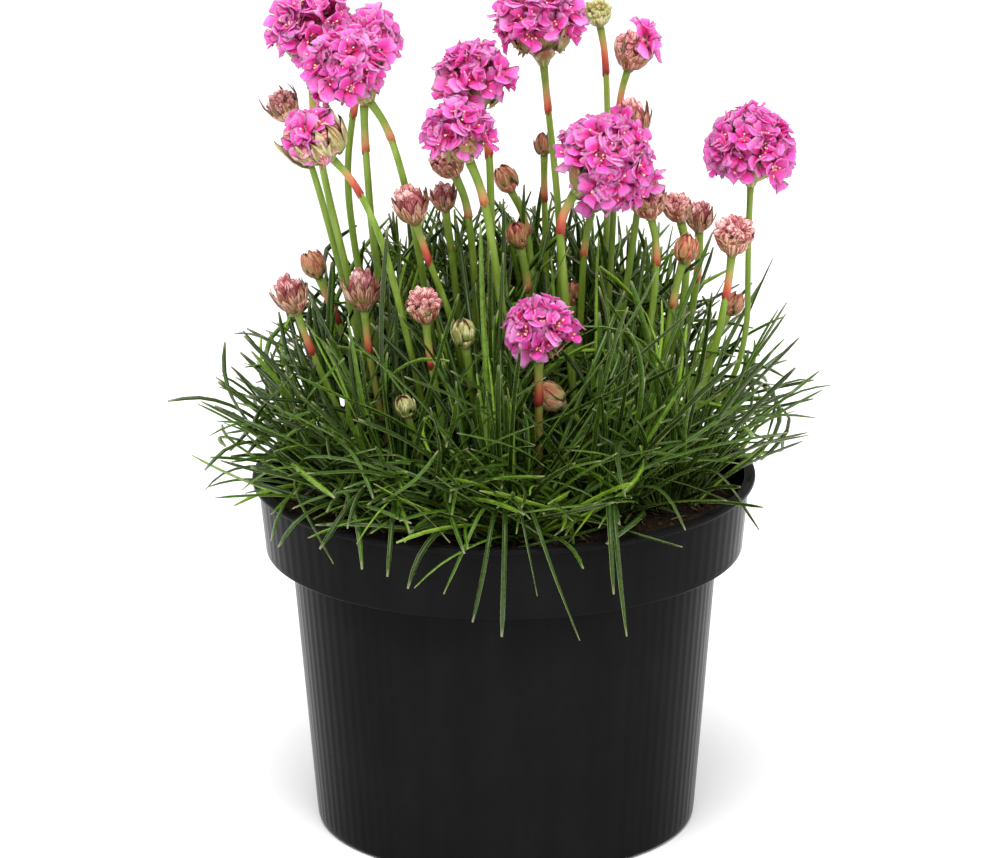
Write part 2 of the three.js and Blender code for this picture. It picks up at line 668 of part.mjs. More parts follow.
// Middle lines of all leaves: the long ones first, then the rest by rule where they cross nothing
function placeLeaves(stalks, heads) {
  const placed = [];
  LONG_LEAVES.forEach((leaf) => {
    const rosette = leaf.rosette - 1;
    placed.push({ rosette, line: reachingLine(ROSETTES[rosette], leaf) });
  });
  ROSETTES.forEach((place, rosette) => {
    const random = randomStream(101 + rosette);
    for (let index = 0; index < BLADES_PER_ROSETTE; index += 1) {
      for (let attempt = 0; attempt < BLADE_TRIES; attempt += 1) {
        const line = archingLine(place, BLADES_PER_ROSETTE, index, random);
        if (isClear(line, rosette, placed, stalks, heads)) {
          placed.push({ rosette, line });
          break;
        }
      }
    }
  });
  return placed;
}

const plant = new THREE.Group();
const pad = (number) => String(number).padStart(2, "0");

const bloomPaths = BLOOMS.map((bloom) => stalkPath(bloom, BLOOM_SEAT + BLOOM_CUP_DEPTH).curve);
const budPaths = BUDS.map((bud) => stalkPath(bud, BUD_NECK).curve);
const stalkLines = [...bloomPaths, ...budPaths].map((curve) => curve.getSpacedPoints(7));
const holes = [
  ...bloomPaths.map((curve) => solid(loft(stalkRings(curve, BLOOM_STALK_STEPS, HOLE_GAP)))),
  ...budPaths.map((curve) => solid(loft(stalkRings(curve, BUD_STALK_STEPS, HOLE_GAP)))),
];
const headBalls = [...BLOOMS, ...BUDS].map(({ head, radius }) => ({ centre: vector(head), radius }));

plant.add(meshOf(makePot(), "pot", POT_PLASTIC));

let soil = makeSoilBlock();
for (const place of ROSETTES) {
  soil = soil.subtract(solid(makeCrown(place, GAP)));
}
for (const hole of holes) {
  soil = soil.subtract(hole);
}
plant.add(meshOf(largest(soil), "soil", PEAT));

const leaves = placeLeaves(stalkLines, headBalls);
ROSETTES.forEach((place, rosette) => {
  let body = solid(makeCrown(place));
  for (const leaf of leaves.filter((entry) => entry.rosette === rosette)) {
    body = body.add(makeBlade(leaf.line));
  }
  for (const hole of holes) {
    body = body.subtract(hole);
  }
  plant.add(meshOf(largest(body), `rosette_${pad(rosette + 1)}`, LEAF));
});

BLOOMS.forEach((bloom, index) => {
  plant.add(meshOf(makeBloomStalk(bloom), `bloom_stalk_${pad(index + 1)}`, STALK));
  plant.add(meshOf(makeBloomHead(bloom, 201 + index), `bloom_${pad(index + 1)}`, PETAL));
});

BUDS.forEach((bud, index) => {
  plant.add(meshOf(makeBud(bud, 301 + index), `bud_${pad(index + 1)}`, BUD));
});

export default plant;
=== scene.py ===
# Potted sea thrift: fine leaves, flowers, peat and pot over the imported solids.
# Metres, +Z up, front of the plant towards -Y.
import math
import random

import bpy
import numpy as np
from mathutils import Matrix, Vector, noise


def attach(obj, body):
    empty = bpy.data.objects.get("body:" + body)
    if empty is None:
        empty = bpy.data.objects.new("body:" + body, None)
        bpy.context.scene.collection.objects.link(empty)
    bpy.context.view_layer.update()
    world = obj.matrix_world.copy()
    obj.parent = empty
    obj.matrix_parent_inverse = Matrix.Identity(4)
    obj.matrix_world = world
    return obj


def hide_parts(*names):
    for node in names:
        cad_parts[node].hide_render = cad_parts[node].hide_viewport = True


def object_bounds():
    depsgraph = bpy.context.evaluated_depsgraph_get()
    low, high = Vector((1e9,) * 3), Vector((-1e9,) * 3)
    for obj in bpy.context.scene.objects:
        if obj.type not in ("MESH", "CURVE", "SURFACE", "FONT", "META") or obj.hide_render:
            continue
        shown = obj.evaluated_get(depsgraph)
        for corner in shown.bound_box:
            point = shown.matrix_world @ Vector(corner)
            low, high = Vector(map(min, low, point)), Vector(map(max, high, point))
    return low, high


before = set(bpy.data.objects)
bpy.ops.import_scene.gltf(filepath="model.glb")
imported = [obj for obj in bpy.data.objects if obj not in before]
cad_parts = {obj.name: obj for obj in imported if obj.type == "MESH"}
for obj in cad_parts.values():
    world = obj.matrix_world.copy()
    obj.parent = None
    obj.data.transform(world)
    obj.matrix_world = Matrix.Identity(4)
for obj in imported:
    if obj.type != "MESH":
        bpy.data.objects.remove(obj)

cad_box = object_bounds()
scene = bpy.context.scene

MM = 0.001
GOLDEN_ANGLE = math.pi * (3 - math.sqrt(5))

# Camera, where the photograph was taken from
CAMERA_BACK = 1.5
CAMERA_HEIGHT = 0.5675
CAMERA_PITCH = 0.2994
CAMERA_ROLL = 0.0065
CAMERA_LENS = 219.2
CAMERA_SHIFT = -0.0035

# Pot
RIM_RADIUS = 65 * MM
POT_HEIGHT = 93 * MM
BAND_HEIGHT = 19.5 * MM
BAND_TOP_RADIUS = 63.4 * MM
BAND_BOTTOM_RADIUS = 61.7 * MM
BODY_TOP_RADIUS = 55.2 * MM
BASE_RADIUS = 49.2 * MM
LIP_THICKNESS = 1.4 * MM
WALL = 1.3 * MM
FLOOR = 2 * MM
DRAIN_HOLES = 6
DRAIN_RADIUS = 4 * MM
DRAIN_CIRCLE = 38 * MM
FLUTES = 96
FLUTE_DEPTH = 0.07 * MM
STEPS_PER_FLUTE = 6

# Peat
SOIL_LEVEL = 85 * MM
SOIL_MOUND = 1.5 * MM
SOIL_GAP = 0.3 * MM
PEAT_ROUGHNESS = 1.1 * MM

# Leaves
ROSETTES = 9
LEAF_WIDTH = 1.3 * MM
LEAF_THICKNESS = 0.75 * MM
LEAF_STEPS = 12
FILL_LEAVES = 126
BACK_LEAVES = 0.5
FILL_TRIES = 26
FILL_LONGEST = 88 * MM
FILL_SHORTEST = 40 * MM
CROWN_RADIUS = 8 * MM
ROOT_HEIGHT = 86.5 * MM
PLANT_REACH = 82 * MM
MOUND_REACH = 78 * MM
MOUND_RISE = 68 * MM
MOUND_SLOPE = 6.0
STRAY_EVERY = 9
OUTLINE_MIDDLE = 5 * MM
OUTLINE_REACH = 87 * MM
OUTLINE_RISE = 86 * MM
OUTLINE_LOW = 29 * MM
SIGHT_SLOPE = 0.304
LOWEST_TIP = 70 * MM
LOWEST_FILL = 84 * MM
LEAF_CLEAR_OF_STEM = 2 * MM
LEAF_CLEAR_OF_HEAD = 0.9 * MM
HEAD_SHOWN_PAST = 1.5 * MM

# Leaves part in front of low heads and stems
WINDOW_DEPTH = 48 * MM
WINDOW_RISE = 0.3
WINDOW_TOP = 176 * MM
STEM_SHOWN = 24 * MM
STEM_WINDOW = 1.3 * MM
# Stems that are seen further down, by number
BLOOM_STEMS_SHOWN = {2: 75 * MM, 3: 75 * MM, 8: 62 * MM, 10: 62 * MM, 11: 34 * MM}
BUD_STEMS_SHOWN = {8: 46 * MM, 10: 42 * MM, 19: 30 * MM, 21: 36 * MM, 22: 32 * MM, 25: 28 * MM}
# Round places where the peat stays bare: (x, y, radius)
BARE_PEAT = [(52 * MM, -22 * MM, 16 * MM)]

# Stalks and heads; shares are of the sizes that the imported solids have
BLOOMS = 11
BUDS = 25
STALK_SIDES = 5
STALK_SPACING = 3 * MM
CUP_SHARE = 0.44
CUP_DEPTH = 0.24
SEAT_SHARE = 0.62
BUD_GIRTH_RING = 7
STEM_GIRTH = 0.98 * MM
SHEATH_GIRTH = 1.06 * MM
SHEATH_LENGTH = 12 * MM
PETAL_LENGTH = 5.7 * MM
PETAL_WIDTH = 3.9 * MM
# Surface of a head for each open floret, and half-open florets as a share of the open ones
FLORET_AREA = 36 * MM * MM
YOUNG_FLORETS = 0.75

# How deep under a bloom's surface its parts are seated
PETALS_BELOW = 4.0 * MM
YOUNG_PETALS_BELOW = 5.2 * MM
TUBES_BELOW = 6.7 * MM
STAMENS_BELOW = 4.7 * MM
TALL_STAMENS_BELOW = 3.1 * MM

# How far florets reach round each bloom, from the tip of its axis, in radians
BLOOM_SPREADS = [2.05, 2.0, 1.7, 1.1, 1.85, 1.85, 1.75, 2.1, 1.8, 2.25, 1.7]
# How stout each bloom's stem is, and the size of the blooms that are smaller than their solids
BLOOM_STOUTNESS = [0.98, 0.94, 0.96, 0.9, 1.04, 1.08, 0.92, 1.1, 0.9, 0.78, 1.08]
BLOOM_GIRTHS = {2: 0.82, 3: 0.95}
BUD_STOUTNESS = (0.84, 1.06)
HALF_OPEN_BLOOM = 4
OPEN_SIDE = (-0.7, -0.45, 0.15)
BROWN_BLOOM_STEM = 11
BROWN_BUD_STEM = 21
GREEN_BLOOM_SHEATH = 10

# Buds by number: round heads of closed florets, cups of tall scales; all others are closed eggs
GLOBES = (1, 3, 4, 5, 7, 8, 10, 22)
CUPS = (6, 9, 13, 14, 19, 21)
# Bud 25 is salmon-orange with painted light: its colours are brighter than its own, to make up for the shade
# that bloom 11 and the leaves cast on it.
BUD_COLOURS = {4: "green bud", 23: "green bud", 24: "green bud", 25: "orange bud with painted light"}
GREEN_SHEATHS = (12, 14, 18, 23, 24, 25)
SPIKY_BUDS = (1, 5)
# Florets already open on a bud: how many, and the way that they face
OPEN_FLORETS = {5: (3, (0.75, -0.35, 0.6)), 6: (1, (-0.5, -0.6, 0.6)), 7: (3, (-0.3, -0.3, 0.9))}
OPEN_FLORETS_REACH = 0.75
OPEN_FLORETS_BELOW = 0.6 * MM
OPEN_STAMENS_SUNK = 0.8 * MM

# Seeds of the random draws
LEAF_SEED = 400
BUD_SEED = 50
STOUTNESS_SEED = 12
CRUMB_SEED = 5


# Arrays of points made into meshes

def new_piece(name, points, faces, values=None, edges=()):
    """Object at the origin with its place in its mesh, and numbers kept at each point."""
    mesh = bpy.data.meshes.new(name)
    mesh.from_pydata([tuple(point) for point in points], list(edges), [tuple(face) for face in faces])
    for label, column in (values or {}).items():
        layer = mesh.attributes.new(label, "FLOAT", "POINT")
        layer.data.foreach_set("value", np.asarray(column, dtype=np.float32))
    mesh.shade_smooth()
    piece = bpy.data.objects.new(name, mesh)
    scene.collection.objects.link(piece)
    return piece


def path_piece(name, lines, values):
    """Object whose mesh is a set of open lines; values gives an array of numbers for each line."""
    edges = []
    start = 0
    for line in lines:
        edges += [(start + step, start + step + 1) for step in range(len(line) - 1)]
        start += len(line)
    joined = {label: np.concatenate(columns) for label, columns in values.items()}
    return new_piece(name, np.vstack(lines), [], joined, edges)


def closed_sheet(grid, thickness):
    """Thin closed body over a grid of points, thickest in the middle, both faces meeting at the rim."""
    rows, columns = grid.shape[:2]
    normal = np.cross(np.gradient(grid, axis=0), np.gradient(grid, axis=1))
    normal /= np.maximum(np.linalg.norm(normal, axis=2, keepdims=True), 1e-12)
    upper = np.arange(rows * columns).reshape(rows, columns)
    lower = upper.copy()
    inner = (slice(1, -1), slice(1, -1))
    lower[inner] = rows * columns + np.arange((rows - 2) * (columns - 2)).reshape(rows - 2, columns - 2)
    top = grid.copy()
    top[inner] += 0.5 * thickness * normal[inner]
    bottom = (grid - 0.5 * thickness * normal)[inner]
    points = np.vstack([top.reshape(-1, 3), bottom.reshape(-1, 3)])
    faces = []
    for row in range(rows - 1):
        for column in range(columns - 1):
            corners = [(row, column), (row + 1, column), (row + 1, column + 1), (row, column + 1)]
            faces.append([upper[corner] for corner in corners])
            faces.append([lower[corner] for corner in reversed(corners)])
    along = np.linspace(0, 1, rows)[:, None] * np.ones((1, columns))
    edge = np.abs(np.linspace(-1, 1, columns))[None, :] * np.ones((rows, 1))
    values = {
        "along": np.concatenate([along.ravel(), along[inner].ravel()]),
        "edge": np.concatenate([edge.ravel(), edge[inner].ravel()]),
    }
    return points, faces, values


def directions(sides):
    """Cosine and sine of even angles all the way round."""
    angles = [2 * math.pi * side / sides for side in range(sides)]
    return [(math.cos(angle), math.sin(angle)) for angle in angles]


def turned_faces(sides, rings):
    """Faces of a closed turned body: a first point, rings of points, and a last point."""
    faces = []
    last = 1 + rings * sides
    for side in range(sides):
        following = (side + 1) % sides
        faces.append((0, 1 + following, 1 + side))
        for ring in range(rings - 1):
            near = 1 + ring * sides
            far = near + sides
            faces.append((near + side, near + following, far + following, far + side))
        top = last - sides
        faces.append((top + side, top + following, last))
    return faces


def spindle(profile, sides):
    """Closed turned body along +Z from (radius, height) pairs that start and end on the axis."""
    points = [(0, 0, profile[0][1])]
    along = [0.0]
    edge = [0.5]
    rings = profile[1:-1]
    for index, (radius, height) in enumerate(rings):
        for side, (across, deep) in enumerate(directions(sides)):
            points.append((radius * across, radius * deep, height))
            along.append((index + 1) / (len(profile) - 1))
            edge.append(float(side % 2))
    points.append((0, 0, profile[-1][1]))
    along.append(1.0)
    edge.append(0.5)
    return points, turned_faces(sides, len(rings)), {"along": along, "edge": edge}


def smooth_path(points, count):
    """Even points on a smooth curve through the given ones."""
    points = np.asarray(points, dtype=float)
    padded = np.vstack([2 * points[0] - points[1], points, 2 * points[-1] - points[-2]])
    fine = []
    for index in range(1, len(padded) - 2):
        p0, p1, p2, p3 = padded[index - 1:index + 3]
        knots = [0.0]
        for a, b in ((p0, p1), (p1, p2), (p2, p3)):
            knots.append(knots[-1] + max(np.linalg.norm(b - a), 1e-9) ** 0.5)
        t0, t1, t2, t3 = knots
        t = np.linspace(t1, t2, 12, endpoint=index == len(padded) - 3)[:, None]
        a1 = (t1 - t) / (t1 - t0) * p0 + (t - t0) / (t1 - t0) * p1
        a2 = (t2 - t) / (t2 - t1) * p1 + (t - t1) / (t2 - t1) * p2
        a3 = (t3 - t) / (t3 - t2) * p2 + (t - t2) / (t3 - t2) * p3
        b1 = (t2 - t) / (t2 - t0) * a1 + (t - t0) / (t2 - t0) * a2
        b2 = (t3 - t) / (t3 - t1) * a2 + (t - t1) / (t3 - t1) * a3
        fine.append((t2 - t) / (t2 - t1) * b1 + (t - t1) / (t2 - t1) * b2)
    return evenly(np.vstack(fine), count)


def reached_along(points):
    """Distance along a line to each of its points."""
    return np.concatenate([[0], np.cumsum(np.linalg.norm(np.diff(points, axis=0), axis=1))])


def evenly(points, count):
    """The given number of points at even distances along a line."""
    reached = reached_along(points)
    places = np.linspace(0, reached[-1], count)
    return np.stack([np.interp(places, reached, points[:, axis]) for axis in range(3)], axis=1)


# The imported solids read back: rings of points up a stalk, and from a leaf's tip to its root

def links_of(node):
    """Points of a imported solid, each once, and the neighbours of each."""
    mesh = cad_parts[node].data
    raw = np.empty(len(mesh.vertices) * 3)
    mesh.vertices.foreach_get("co", raw)
    raw = raw.reshape(-1, 3)
    keys = np.round(raw / (0.001 * MM)).astype(np.int64)
    _, first, back = np.unique(keys, axis=0, return_index=True, return_inverse=True)
    back = back.ravel()
    near = [set() for _ in first]
    for face in mesh.polygons:
        corners = [int(back[vertex]) for vertex in face.vertices]
        for a, b in zip(corners, corners[1:] + corners[:1]):
            if a != b:
                near[a].add(b)
                near[b].add(a)
    return raw[first], near


def rings_from(ring, seen, near, size):
    """Rings of one size, each the neighbours of the last, and the points that come after them."""
    rings = [sorted(ring)]
    seen = seen | set(ring)
    while True:
        following = set().union(*(near[vertex] for vertex in rings[-1])) - seen
        if len(following) != size:
            return rings, sorted(following)
        rings.append(sorted(following))
        seen |= following


def leaf_lines(node):
    """Middle line of each leaf of a rosette, root first."""
    points, near = links_of(node)
    lines = []
    for tip, around in enumerate(near):
        if len(around) != 3:
            continue
        rings, root = rings_from(around, {tip}, near, 3)
        if len(rings) < 2:
            continue
        line = [points[tip]] + [points[ring].mean(axis=0) for ring in rings]
        foot = points[root].mean(axis=0) if root else line[-1]
        if np.linalg.norm(foot - line[-1]) < 2 * np.linalg.norm(line[-1] - line[-2]):
            line.append(foot)
        lines.append(np.array(line[::-1]))
    return lines


def crown_place(node):
    """Middle of the foot of a rosette's crown."""
    points, _ = links_of(node)
    foot = points[np.abs(points[:, 2] - (SOIL_LEVEL - 5 * MM)) < 0.1 * MM]
    inside = foot[np.hypot(foot[:, 0], foot[:, 1]) < BASE_RADIUS]
    return inside.mean(axis=0)[:2]


def stalk_rings(node):
    """Centre and radius of each ring of a stalk, from its foot up."""
    points, near = links_of(node)
    lowest = {int(vertex) for vertex in np.argsort(points[:, 2])[:STALK_SIDES]}
    rings, _ = rings_from(lowest, set(), near, STALK_SIDES)
    centres = np.array([points[ring].mean(axis=0) for ring in rings])
    radii = np.array([
        np.linalg.norm(points[ring] - centre, axis=1).mean() for ring, centre in zip(rings, centres)
    ])
    return centres, radii


def corners_cut(line):
    """The line with its corners cut off twice; its ends stay."""
    for _ in range(2):
        first, last = line[:-1], line[1:]
        cuts = np.stack([0.75 * first + 0.25 * last, 0.25 * first + 0.75 * last], axis=1).reshape(-1, 3)
        line = np.vstack([line[:1], cuts[1:-1], line[-1:]])
    return line


def spaced(line, gap):
    """The line without points that lie closer than the gap to the one before; its end stays."""
    chosen = [line[0]]
    for spot in line[1:-1]:
        if min(np.linalg.norm(spot - chosen[-1]), np.linalg.norm(spot - line[-1])) > gap:
            chosen.append(spot)
    return np.array(chosen + [line[-1]])


def unit(vector):
    """The vector at length 1."""
    return vector / np.linalg.norm(vector)


def bloom_of(number):
    """Stalk line, centre, axis and radius of a bloom."""
    centres, radii = stalk_rings(f"bloom_stalk_{number:02d}")
    axis = unit(centres[-1] - centres[-2])
    radius = radii[-1] / CUP_SHARE
    return {
        "line": corners_cut(spaced(centres[:-1], STALK_SPACING)),
        "centre": centres[-1] + SEAT_SHARE * radius * axis,
        "axis": axis,
        "radius": radius,
    }


def bud_of(number):
    """Stalk line, centre, axis and radius of a bud."""
    centres, radii = stalk_rings(f"bud_{number:02d}")
    neck = BUD_GIRTH_RING - 2
    axis = unit(centres[BUD_GIRTH_RING] - centres[neck])
    radius = radii[BUD_GIRTH_RING]
    return {
        "line": corners_cut(spaced(centres[:neck + 1], STALK_SPACING)),
        "centre": centres[BUD_GIRTH_RING] + 0.2 * radius * axis,
        "axis": axis,
        "radius": radius,
    }


# Node trees

class Wiring:
    """Adds nodes to a tree; each input is a value or the output of another node."""

    def __init__(self, tree):
        self.tree = tree

    def node(self, kind, inputs=None, **settings):
        """A node with its settings, and its inputs by name or number."""
        made = self.tree.nodes.new(kind)
        for label, value in settings.items():
            setattr(made, label, value)
        for key, value in (inputs or {}).items():
            open_sockets = [socket for socket in made.inputs if socket.enabled]
            if isinstance(key, int):
                socket = open_sockets[key]
            else:
                socket = next(found for found in open_sockets if found.name == key)
            self.plug(socket, value)
        return made

    def plug(self, socket, value):
        """Links an output to a socket, or sets the socket's value."""
        if isinstance(value, bpy.types.Node):
            value = next(output for output in value.outputs if output.enabled)
        if isinstance(value, bpy.types.NodeSocket):
            self.tree.links.new(value, socket)
        else:
            socket.default_value = value

    def math(self, operation, *values):
        """Arithmetic on numbers."""
        return self.node("ShaderNodeMath", dict(enumerate(values)), operation=operation)

    def plus(self, a, b):
        """Two numbers added."""
        return self.math("ADD", a, b)

    def minus(self, a, b):
        """The first number less the second."""
        return self.math("SUBTRACT", a, b)

    def times(self, a, b):
        """Two numbers multiplied."""
        return self.math("MULTIPLY", a, b)

    def mix(self, share, a, b):
        """A number between two others."""
        return self.node("ShaderNodeMix", {"Factor": share, "A": a, "B": b})

    def blend(self, share, a, b):
        """A colour between two others."""
        inputs = {"Factor": share, "A": a, "B": b}
        return self.node("ShaderNodeMix", inputs, data_type="RGBA").outputs["Result"]

    def random(self, low, high, seed, key):
        """A random number for each key."""
        return self.node("FunctionNodeRandomValue", {"Min": low, "Max": high, "Seed": seed, "ID": key})

    def vector(self, x, y, z):
        """Three numbers as a vector."""
        return self.node("ShaderNodeCombineXYZ", {0: x, 1: y, 2: z})

    def rotation(self, x, y, z):
        """A rotation by three angles."""
        return self.node("FunctionNodeEulerToRotation", {0: self.vector(x, y, z)})

    def stored(self, geometry, label, value, domain="POINT"):
        """Geometry that keeps a number under a label."""
        inputs = {"Geometry": geometry, "Name": label, "Value": value}
        return self.node("GeometryNodeStoreNamedAttribute", inputs, data_type="FLOAT", domain=domain)


def new_tree(name, inputs):
    """Geometry tree with named inputs, its wiring, and the outputs of its input node by name."""
    tree = bpy.data.node_groups.new(name, "GeometryNodeTree")
    tree.interface.new_socket("Geometry", in_out="INPUT", socket_type="NodeSocketGeometry")
    for label, kind in inputs.items():
        tree.interface.new_socket(label, in_out="INPUT", socket_type=f"NodeSocket{kind}")
    tree.interface.new_socket("Geometry", in_out="OUTPUT", socket_type="NodeSocketGeometry")
    wires = Wiring(tree)
    given = tree.nodes.new("NodeGroupInput").outputs
    return tree, wires, given


def end_tree(wires, geometry):
    """Links the last geometry to the tree's output."""
    wires.plug(wires.tree.nodes.new("NodeGroupOutput").inputs[0], geometry)


def realized(w, geometry, given):
    """Instances made real, in the tree's material."""
    real = w.node("GeometryNodeRealizeInstances", {0: geometry})
    return w.node("GeometryNodeSetMaterial", {"Geometry": real, "Material": given["Material"]})


def grow(piece, tree, sizes):
    """Adds a tree to a piece, with the tree's inputs given by name."""
    modifier = piece.modifiers.new(tree.name, "NODES")
    modifier.node_group = tree
    for socket in tree.interface.items_tree:
        if socket.in_out == "INPUT" and socket.name in sizes:
            modifier[socket.identifier] = sizes[socket.name]
    return piece


def settle(piece):
    """Turns what the modifiers make into the piece's plain mesh."""
    shown = bpy.context.evaluated_depsgraph_get()
    mesh = bpy.data.meshes.new_from_object(
        piece.evaluated_get(shown), preserve_all_data_layers=True, depsgraph=shown
    )
    piece.modifiers.clear()
    piece.data = mesh
    return piece


def copies_tree():
    """Copies of a shape spread by the golden angle over a cap round a head's axis."""
    tree, w, given = new_tree("spread copies", {
        "Shape": "Object",
        "Material": "Material",
        "Places": "Int",
        "Copies at a Place": "Int",
        **dict.fromkeys((
            "First Angle", "Last Angle", "Seat", "Seat Spread", "Lean", "Lean Spread", "Turn Spread",
            "Tilt Spread", "Upright", "Size", "Size Spread", "Last Size", "Stretch", "Ruffle", "Ruffle Scale",
        ), "Float"),
        "Centre": "Vector",
        "Axis": "Vector",
        "Seed": "Int",
    })
    places = given["Places"]
    per_place = given["Copies at a Place"]
    seed = given["Seed"]
    index = w.node("GeometryNodeInputIndex")
    place = w.math("FLOOR", w.math("DIVIDE", index, per_place))
    order = w.math("DIVIDE", w.math("MODULO", index, per_place), per_place)
    share = w.math("DIVIDE", w.plus(place, 0.5), places)
    first = w.math("COSINE", given["First Angle"])
    last = w.math("COSINE", given["Last Angle"])
    polar = w.math("ARCCOSINE", w.mix(share, first, last))
    stray = w.random(-0.22, 0.22, seed, place)
    start = w.times(seed, 0.7)
    azimuth = w.plus(w.math("MULTIPLY_ADD", place, GOLDEN_ANGLE, start), stray)
    outward = w.rotation(0.0, polar, azimuth)
    own_turn = w.random(-1.0, 1.0, seed, place)
    turn = w.math("MULTIPLY_ADD", order, 2 * math.pi, w.times(own_turn, given["Turn Spread"]))
    tilts = []
    for shift in (11, 12):
        own_tilt = w.random(-1.0, 1.0, w.plus(seed, float(shift)), place)
        tilts.append(w.times(own_tilt, given["Tilt Spread"]))
    tilt = w.rotation(*tilts, 0.0)
    own_lean = w.random(-1.0, 1.0, seed, index)
    lean = w.math("MULTIPLY_ADD", own_lean, given["Lean Spread"], given["Lean"])
    spread = w.rotation(0.0, lean, turn)
    raised = w.times(polar, w.minus(1.0, given["Upright"]))
    heading = w.rotation(0.0, raised, azimuth)
    facing = w.node("FunctionNodeRotateRotation", {0: heading, 1: tilt}, rotation_space="LOCAL")
    rotation = w.node("FunctionNodeRotateRotation", {0: facing, 1: spread}, rotation_space="LOCAL")
    own_size = w.math("MULTIPLY_ADD", w.random(-1.0, 1.0, seed, index), given["Size Spread"], 1.0)
    by_place = w.mix(share, 1.0, given["Last Size"])
    size = w.times(w.times(given["Size"], own_size), by_place)
    own_seat = w.random(-1.0, 1.0, w.plus(seed, 13.0), place)
    seat = w.math("MULTIPLY_ADD", own_seat, given["Seat Spread"], given["Seat"])
    position = w.node("FunctionNodeRotateVector", {0: w.vector(0.0, 0.0, seat), 1: outward})
    points = w.node("GeometryNodePoints", {
        "Count": w.times(places, per_place), "Position": position,
    })
    shape = w.node("GeometryNodeObjectInfo", {"Object": given["Shape"]}).outputs["Geometry"]
    copies = w.node("GeometryNodeInstanceOnPoints", {
        "Points": points, "Instance": shape, "Rotation": rotation, "Scale": size,
    })
    shaded = w.stored(copies, "shade", w.random(0.0, 1.0, seed, index), "INSTANCE")
    real = w.node("GeometryNodeRealizeInstances", {0: shaded})
    where = w.node("GeometryNodeInputPosition")
    wave = w.node("ShaderNodeTexNoise", {"Vector": where, "Scale": given["Ruffle Scale"], "Detail": 1.0})
    from_middle = {0: wave.outputs["Color"], 1: (0.5, 0.5, 0.5)}
    centred = w.node("ShaderNodeVectorMath", from_middle, operation="SUBTRACT")
    offset = w.node("ShaderNodeVectorMath", {0: centred, "Scale": given["Ruffle"]}, operation="SCALE")
    ruffled = w.node("GeometryNodeSetPosition", {"Geometry": real, "Offset": offset})
    upright = w.node("FunctionNodeAlignRotationToVector", {"Vector": given["Axis"]}, axis="Z")
    placed = w.node("GeometryNodeTransform", {
        "Geometry": ruffled,
        "Translation": given["Centre"],
        "Rotation": upright,
        "Scale": w.vector(1.0, 1.0, given["Stretch"]),
    })
    finished = w.node("GeometryNodeSetMaterial", {"Geometry": placed, "Material": given["Material"]})
    joined = w.node("GeometryNodeJoinGeometry")
    w.plug(joined.inputs[0], given["Geometry"])
    w.plug(joined.inputs[0], finished)
    end_tree(w, joined)
    return tree


def leaf_tree():
    """Channelled blade with a keel below, swept along each line and narrowing to its tip."""
    tree, w, given = new_tree("leaf blades", {
        "Material": "Material",
        "Width": "Float",
        "Thickness": "Float",
        "Twist": "Float",
    })
    lines = w.node("GeometryNodeMeshToCurve", {0: given["Geometry"]})
    upright = w.node("GeometryNodeSetCurveNormal", {0: lines}, mode="Z_UP")
    along = w.node("GeometryNodeSplineParameter").outputs["Factor"]
    shade = w.node("GeometryNodeInputNamedAttribute", {"Name": "shade"}, data_type="FLOAT")
    lean = w.minus(shade, 0.5)
    tilt = w.times(w.times(lean, given["Twist"]), w.plus(along, 0.6))
    turned = w.node("GeometryNodeSetCurveTilt", {"Curve": upright, "Tilt": tilt})
    marked = w.stored(turned, "along", along)
    taper = w.node("ShaderNodeFloatCurve", {"Value": along})
    set_curve(taper, [(0, 0.8), (0.1, 0.94), (0.5, 1.0), (0.84, 0.98), (0.93, 0.9), (1, 0.42)])
    own_width = w.math("MULTIPLY_ADD", w.math("FRACT", w.times(shade, 7.0)), 0.3, 0.84)
    breadth = w.times(taper, own_width)
    section = w.node("GeometryNodeCurvePrimitiveQuadrilateral", {
        "Width": given["Width"],
        "Bottom Height": w.times(given["Thickness"], 0.72),
        "Top Height": w.times(given["Thickness"], -0.2),
    }, mode="KITE")
    corner = w.math("MODULO", w.node("GeometryNodeInputIndex"), 2.0)
    edged = w.stored(section, "edge", corner)
    blades = w.node("GeometryNodeCurveToMesh", {
        "Curve": marked, "Profile Curve": edged, "Scale": breadth, "Fill Caps": True,
    })
    smooth = w.node("GeometryNodeSetShadeSmooth", {0: blades})
    end_tree(w, realized(w, smooth, given))
    return tree


def stem_tree():
    """Round stem swept along each line, with the girth kept at each point."""
    tree, w, given = new_tree("stems", {"Material": "Material", "Sides": "Int"})
    lines = w.node("GeometryNodeMeshToCurve", {0: given["Geometry"]})
    along = w.node("GeometryNodeSplineParameter").outputs["Factor"]
    marked = w.stored(lines, "along", along)
    girth = w.node("GeometryNodeInputNamedAttribute", {"Name": "girth"}, data_type="FLOAT")
    section = w.node("GeometryNodeCurvePrimitiveCircle", {"Resolution": given["Sides"], "Radius": 1.0})
    stems = w.node("GeometryNodeCurveToMesh", {
        "Curve": marked, "Profile Curve": section.outputs["Curve"], "Scale": girth, "Fill Caps": True,
    })
    smooth = w.node("GeometryNodeSetShadeSmooth", {0: stems})
    end_tree(w, realized(w, smooth, given))
    return tree


